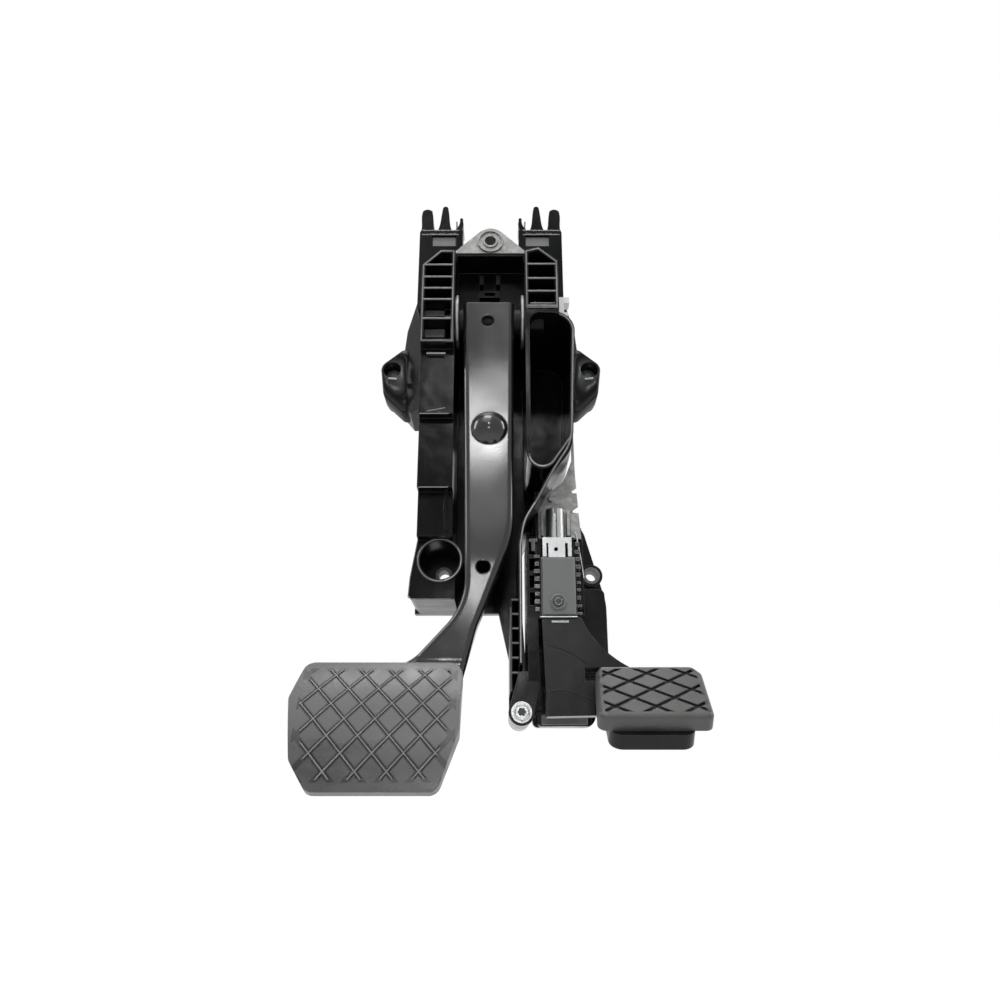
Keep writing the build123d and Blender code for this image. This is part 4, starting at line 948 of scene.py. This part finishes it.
@dataclass
class ModuleTrim:
    """Catches, bars and screw details of the accelerator module, in millimetres."""

    shop: Workshop
    screw: Flat = (21.5, -273.0)
    screw_front: float = 80.2
    boss: Flat = (46.0, -203.0)

    def catches(self, name: str, start: Point, size: Point, count: int, pitch: float, seed: int) -> None:
        """Adds a row of small catches down the side of the cover.

        Args:
            name: name of the piece.
            start: centre of the top one.
            size: size of each one along each axis.
            count: how many there are.
            pitch: distance from one to the next.
            seed: number that fixes their small differences.
        """
        graph = ShapeGraph(
            "catch_row",
            {
                "Start": tuple(part * MM for part in start),
                "Step": (0.0, 0.0, -pitch * MM),
                "Size": tuple(part * MM for part in size),
                "Count": count,
                "Seed": seed,
            },
        )
        row = graph.node(
            "GeometryNodeMeshLine",
            {
                "Count": graph.entry["Count"],
                "Start Location": graph.entry["Start"],
                "Offset": graph.entry["Step"],
            },
        )
        block = graph.node("GeometryNodeMeshCube", {"Size": graph.entry["Size"]})
        spread = graph.node(
            "FunctionNodeRandomValue", {"Seed": graph.entry["Seed"]}, data_type="FLOAT_VECTOR"
        )
        spread.inputs["Min"].default_value = (0.55, 0.8, 0.6)
        spread.inputs["Max"].default_value = (1.0, 1.2, 1.1)
        placed = graph.node(
            "GeometryNodeInstanceOnPoints",
            {
                "Points": row.outputs["Mesh"],
                "Instance": block.outputs["Mesh"],
                "Scale": spread.outputs["Value"],
            },
        )
        graph.close(placed.outputs[0])
        empty = bpy.data.meshes.new("start")
        # The catch finish is lighter than the module, with painted edge highlights.
        mesh = graph.bake(empty, self.shop.materials[Look.CATCH])
        self.shop.add(name, mesh, Body.BRACKET, Slot.MODULE, Look.CATCH)

    def bars(self) -> None:
        """Adds the thin bright edges round the cover, and the bar and creases of the lever; the bar's bright
        finish is a painted highlight.
        """
        fixed = [
            facing_line([(34, -212.9), (58.6, -212.9)], 86.2),
            Line(((61.2, -60, -147), (63.6, -60, -160), (65.6, -57.6, -172), (66.4, -57.6, -180))),
        ]
        self.shop.beads("module_edges", fixed, 0.5, Body.BRACKET, Slot.MODULE, Look.BRIGHT)
        # Painted highlight: the lever's bar in the bright glint finish.
        moving = [facing_line([(41.4, -216.2), (52.6, -216.2)], 86.4)]
        self.shop.beads("lever_bar", moving, 0.8, Body.ACCELERATOR, Slot.GREY, Look.GLINT)
        crease = [
            Line(tuple((x, -85.1 - 12 * (-212 - z) / 66, z) for x, z in smooth_run(run)))
            for run in (
                [(38.6, -231.6), (47, -234), (55.8, -238.1), (63, -243.5)],
                [(37.5, -262), (48, -260.5), (60, -264.5), (72, -269)],
            )
        ]
        self.shop.beads("lever_creases", crease, 0.45, Body.ACCELERATOR, Slot.GREY, Look.LEVER)

    def hook(self) -> None:
        """Adds the T-shaped hook beside the retaining clip, and the strip under the lever, whose light grey
        is a painted highlight.
        """
        outline = [
            (27.4, -157.2), (33.2, -157.2), (33.2, -159.4), (31.5, -159.4),
            (31.5, -166), (29, -166), (29, -159.4), (27.4, -159.4),
        ]
        self.shop.add(
            "side_hook", merged([prism(outline, 79, 73, 0.4)]), Body.BRACKET, Slot.MODULE, Look.CATCH
        )
        # Painted highlight: the strip is in a light grey finish on the module's black.
        strip = prism(rectangle(36.5, 69.5, -278.2, -271), 24.9, 22, 0.6)
        self.shop.add("foot_strip", merged([strip]), Body.BRACKET, Slot.MODULE, Look.COVER)

    def screws(self) -> None:
        """Adds the star drive of the module screw, a near-black star that paints the recess's shade, and the
        pan head in the cover's boss.
        """
        star = []
        for n in range(24):
            turn = math.tau * n / 24
            reach = 2.55 + 0.45 * math.cos(6 * turn)
            star.append((self.screw[0] + reach * math.cos(turn), self.screw[1] + reach * math.sin(turn)))
        # Painted shade: a near-black star laid on the screw head stands for its recess.
        drive = prism(star, self.screw_front + 0.1, self.screw_front - 1, 0.15)
        self.shop.add("screw_drive", merged([drive]), Body.BRACKET, Slot.BUFFER, Look.BUFFER)
        rim = [facing_line(ring(self.screw, 4.4), self.screw_front, True)]
        self.shop.beads("screw_ring", rim, 0.45, Body.BRACKET, Slot.BOLT, Look.BRIGHT)
        collar = [
            facing_line(ring(self.boss, 4.7), 87.6, True),
            facing_line(ring(self.boss, 2.2), 88.3, True),
        ]
        self.shop.beads("boss_rings", collar, 0.5, Body.BRACKET, Slot.MODULE, Look.CATCH)
        head = prism(ring(self.boss, 3.6), 88.4, 85, 0.7)
        self.shop.add("cover_screw", merged([head]), Body.BRACKET, Slot.BOLT, Look.BUFFER)

    def build(self) -> None:
        """Adds all trim of the module."""
        self.catches("left_catches", (32.6, -76.5, -170), (4.6, 6.0, 2.6), 8, 5.2, 3)
        self.catches("right_catches", (61.0, -70.0, -160), (4.4, 9.0, 2.8), 10, 5.4, 8)
        self.bars()
        self.hook()
        self.screws()


@dataclass
class PedalTread:
    """Ridges in the grooves of the brake pad, in a light finish that paints a highlight, in millimetres.

    Attributes:
        shop: workshop that makes the piece.
        centre: middle of the pad.
        tilt: degrees that the pad faces up.
        crown: radius of the pad's crowned face.
        pitch: spacing of the diamonds across and up the pad.
        sink: how far the middle of a ridge lies under the skin.
        radius: radius of a ridge.
        step: length of one straight piece of a ridge.
        shortest: length under which a ridge is left out.
        outline: corners of the field that the ridges fill.
    """

    shop: Workshop
    centre: Point = (-66.0, -122.0, -280.0)
    tilt: float = 22.0
    crown: float = 135.0
    pitch: Flat = (18.2, 20.2)
    sink: float = 0.05
    radius: float = 0.62
    step: float = 3.0
    shortest: float = 4.0
    outline: tuple[Flat, ...] = (
        (-40.5, 34.5), (41.5, 34.5), (43.8, 31), (42.9, -5), (33.5, -34.5),
        (-32, -34.5), (-41, -21), (-46.6, 13),
    )

    def on_pad(self, u: float, v: float) -> Point:
        """Middle of a ridge on the crowned face, `u` across and `v` up it."""
        lean = math.radians(self.tilt)
        height = math.sqrt(self.crown**2 - v**2) - self.crown - self.sink
        x, y, z = self.centre
        return (
            x + u,
            y + v * math.sin(lean) - height * math.cos(lean),
            z + v * math.cos(lean) + height * math.sin(lean),
        )

    def clipped(self, start: Flat, way: Flat) -> Span | None:
        """Part of a line that lies inside the outline, as two distances along it."""
        low, high = -math.inf, math.inf
        corners = [*self.outline, self.outline[0]]
        for (ax, az), (bx, bz) in zip(corners, corners[1:]):
            normal = (bz - az, ax - bx)
            rate = normal[0] * way[0] + normal[1] * way[1]
            offset = normal[0] * (start[0] - ax) + normal[1] * (start[1] - az)
            if abs(rate) < 1e-9:
                continue
            if rate > 0:
                low = max(low, -offset / rate)
            else:
                high = min(high, -offset / rate)
        return (low, high) if high - low > self.shortest else None

    def build(self) -> None:
        """Adds the ridges."""
        reach = math.hypot(*self.pitch)
        lines = []
        for side in (-1, 1):
            way = (self.pitch[0] / reach, side * self.pitch[1] / reach)
            for n in range(-6, 7):
                span = self.clipped((self.pitch[0] * n, 0.0), way)
                if not span:
                    continue
                steps = max(2, round((span[1] - span[0]) / self.step))
                run = [span[0] + (span[1] - span[0]) * k / steps for k in range(steps + 1)]
                points = (self.on_pad(self.pitch[0] * n + t * way[0], t * way[1]) for t in run)
                lines.append(Line(tuple(points)))
        # Painted highlight: the ridges are in the light bead finish.
        self.shop.beads("tread_ridges", lines, self.radius, Body.BRAKE, Slot.PAD, Look.RIM)


@dataclass
class ArmTrim:
    """Edges of the bearing discs, in a bright finish that paints a highlight, and of the arm's holes, in
    millimetres.
    """

    shop: Workshop
    pivot: Flat = (-78.0, 13.0)

    def build(self) -> None:
        """Adds the edges."""
        rims = []
        for x in (-24.2, 24.2):
            rims.append(Line(tuple((x, y, z) for y, z in arc(self.pivot, 19.6, 110, 250))))
        # Painted highlight: the disc edges are in the bright glint finish.
        self.shop.beads("disc_edges", rims, 0.85, Body.BRAKE, Slot.BUSH, Look.GLINT)
        holes = [
            facing_line(ring((-1.5, 6), 5.0), 92.4, True),
            facing_line(ring((-3.6, -182), 5.0), 98.7, True),
        ]
        self.shop.beads("hole_rims", holes, 0.4, Body.BRAKE, Slot.ARM, Look.ARM)


@dataclass(frozen=True)
class Lamp:
    """Soft lamp that points at the object.

    Attributes:
        name: name of the lamp.
        place: place of the lamp in metres.
        size: width and height of its face in metres.
        power: power in watts.
    """

    name: str
    place: Point
    size: Flat
    power: float


LAMPS = (
    Lamp("window_lamp", (-0.03, -1.47, 0.67), (0.2, 0.15), 3.2),
    Lamp("low_lamp", (-0.03, -1.47, -0.03), (0.12, 0.22), 1.8),
    Lamp("top_lamp", (-0.1, -0.4, 1.0), (0.5, 0.4), 5),
    Lamp("left_lamp", (-1.3, -0.1, 0.6), (0.25, 0.8), 7),
    Lamp("right_lamp", (1.3, -0.1, 0.6), (0.25, 0.8), 7),
    Lamp("back_lamp", (0.0, 0.8, 1.1), (0.7, 0.3), 7),
)


@dataclass
class Studio:
    """Camera, floor, backdrop light and lamps round the object.

    Attributes:
        eye: place of the camera in metres.
        tilt: degrees that the camera looks up.
        lens: focal length in millimetres.
        sensor: width of the sensor in millimetres.
        floor_z: height of the floor in metres.
        floor_glow: strength at which the floor glows where it is seen.
        dim: strength of the surroundings as a light.
        bright: strength of the surroundings where they are seen.
        target: point that the lamps face.
    """

    eye: Point = (0.0075, -0.6086, -0.3103)
    tilt: float = 18.87
    lens: float = 28.8
    sensor: float = 36.0
    floor_z: float = -0.83
    floor_glow: float = 0.62
    dim: float = 0.3
    bright: float = 1.0
    target: Vector = field(default_factory=lambda: Vector((0.0, -0.06, -0.1)))

    def camera(self) -> None:
        """Places the camera at the photograph's viewing angle."""
        data = bpy.data.cameras.new("camera")
        data.lens = self.lens
        data.sensor_width = self.sensor
        data.clip_start = 0.01
        camera = in_scene("camera", data)
        camera.location = self.eye
        camera.rotation_euler = (math.radians(90 + self.tilt), 0, 0)
        bpy.context.scene.camera = camera

    @staticmethod
    def seen(tree: bpy.types.NodeTree) -> bpy.types.NodeSocket:
        """Socket that is 1 for what is seen straight, in a reflection or through glass."""
        path = tree.nodes.new("ShaderNodeLightPath")
        total = path.outputs["Is Camera Ray"]
        for ray in ("Is Glossy Ray", "Is Transmission Ray"):
            step = tree.nodes.new("ShaderNodeMath")
            step.operation = "MAXIMUM"
            tree.links.new(total, step.inputs[0])
            tree.links.new(path.outputs[ray], step.inputs[1])
            total = step.outputs[0]
        return total

    def floor(self) -> None:
        """Lays a white floor that keeps the object's shadow, well below the object."""
        bpy.ops.mesh.primitive_plane_add(size=60, location=(0, 0, self.floor_z))
        floor = bpy.context.object
        floor.name = "floor"
        graph = NodeGraph("floor_paper")
        graph.link(
            graph.shade(graph.noise(4, 2), (0.86, 0.86, 0.86), (0.9, 0.9, 0.9)),
            graph.shader.inputs["Base Color"],
        )
        graph.shader.inputs["Roughness"].default_value = 0.9
        graph.shader.inputs["Specular IOR Level"].default_value = 0.0
        graph.shader.inputs["Emission Color"].default_value = (1, 1, 1, 1)
        glow = graph.ranged(self.seen(graph.tree), (0, 1), (0, self.floor_glow))
        graph.link(glow, graph.shader.inputs["Emission Strength"])
        floor.data.materials.append(graph.material)

    def world(self) -> None:
        """Makes the surroundings white to the eye and in reflections, and dim as a light."""
        world = bpy.data.worlds.new("surroundings")
        bpy.context.scene.world = world
        world.use_nodes = True
        tree = world.node_tree
        background = tree.nodes["Background"]
        strength = tree.nodes.new("ShaderNodeMapRange")
        strength.inputs["To Min"].default_value = self.dim
        strength.inputs["To Max"].default_value = self.bright
        tree.links.new(self.seen(tree), strength.inputs["Value"])
        tree.links.new(strength.outputs["Result"], background.inputs["Strength"])
        background.inputs["Color"].default_value = (1, 1, 1, 1)

    def hang(self, lamp: Lamp) -> None:
        """Adds one lamp, unseen by the camera."""
        data = bpy.data.lights.new(lamp.name, "AREA")
        data.shape = "RECTANGLE"
        data.size, data.size_y = lamp.size
        data.energy = lamp.power
        light = in_scene(lamp.name, data)
        light.location = lamp.place
        towards = self.target - Vector(lamp.place)
        light.rotation_euler = towards.to_track_quat("-Z", "Y").to_euler()
        light.visible_camera = False

    def daylight(self) -> None:
        """Adds an even, very soft light over object and floor."""
        data = bpy.data.lights.new("daylight", "SUN")
        data.energy = 0.8
        data.angle = math.radians(40)
        in_scene("daylight", data).rotation_euler = (math.radians(32), math.radians(-12), 0)

    def build(self) -> None:
        """Sets up the whole studio."""
        scene = bpy.context.scene
        scene.view_settings.view_transform = "Standard"
        self.camera()
        self.floor()
        self.world()
        self.daylight()
        for lamp in LAMPS:
            self.hang(lamp)
        LOG.info("studio ready")


def main() -> None:
    """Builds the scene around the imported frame."""
    logging.basicConfig(level=logging.INFO, format="%(name)s: %(message)s")
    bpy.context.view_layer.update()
    Studio().build()
    shop = Workshop()
    shop.dress()
    for group in (BracketTrim(shop), ModuleTrim(shop), PedalTread(shop), ArmTrim(shop)):
        group.build()


if __name__ == "__main__":
    main()
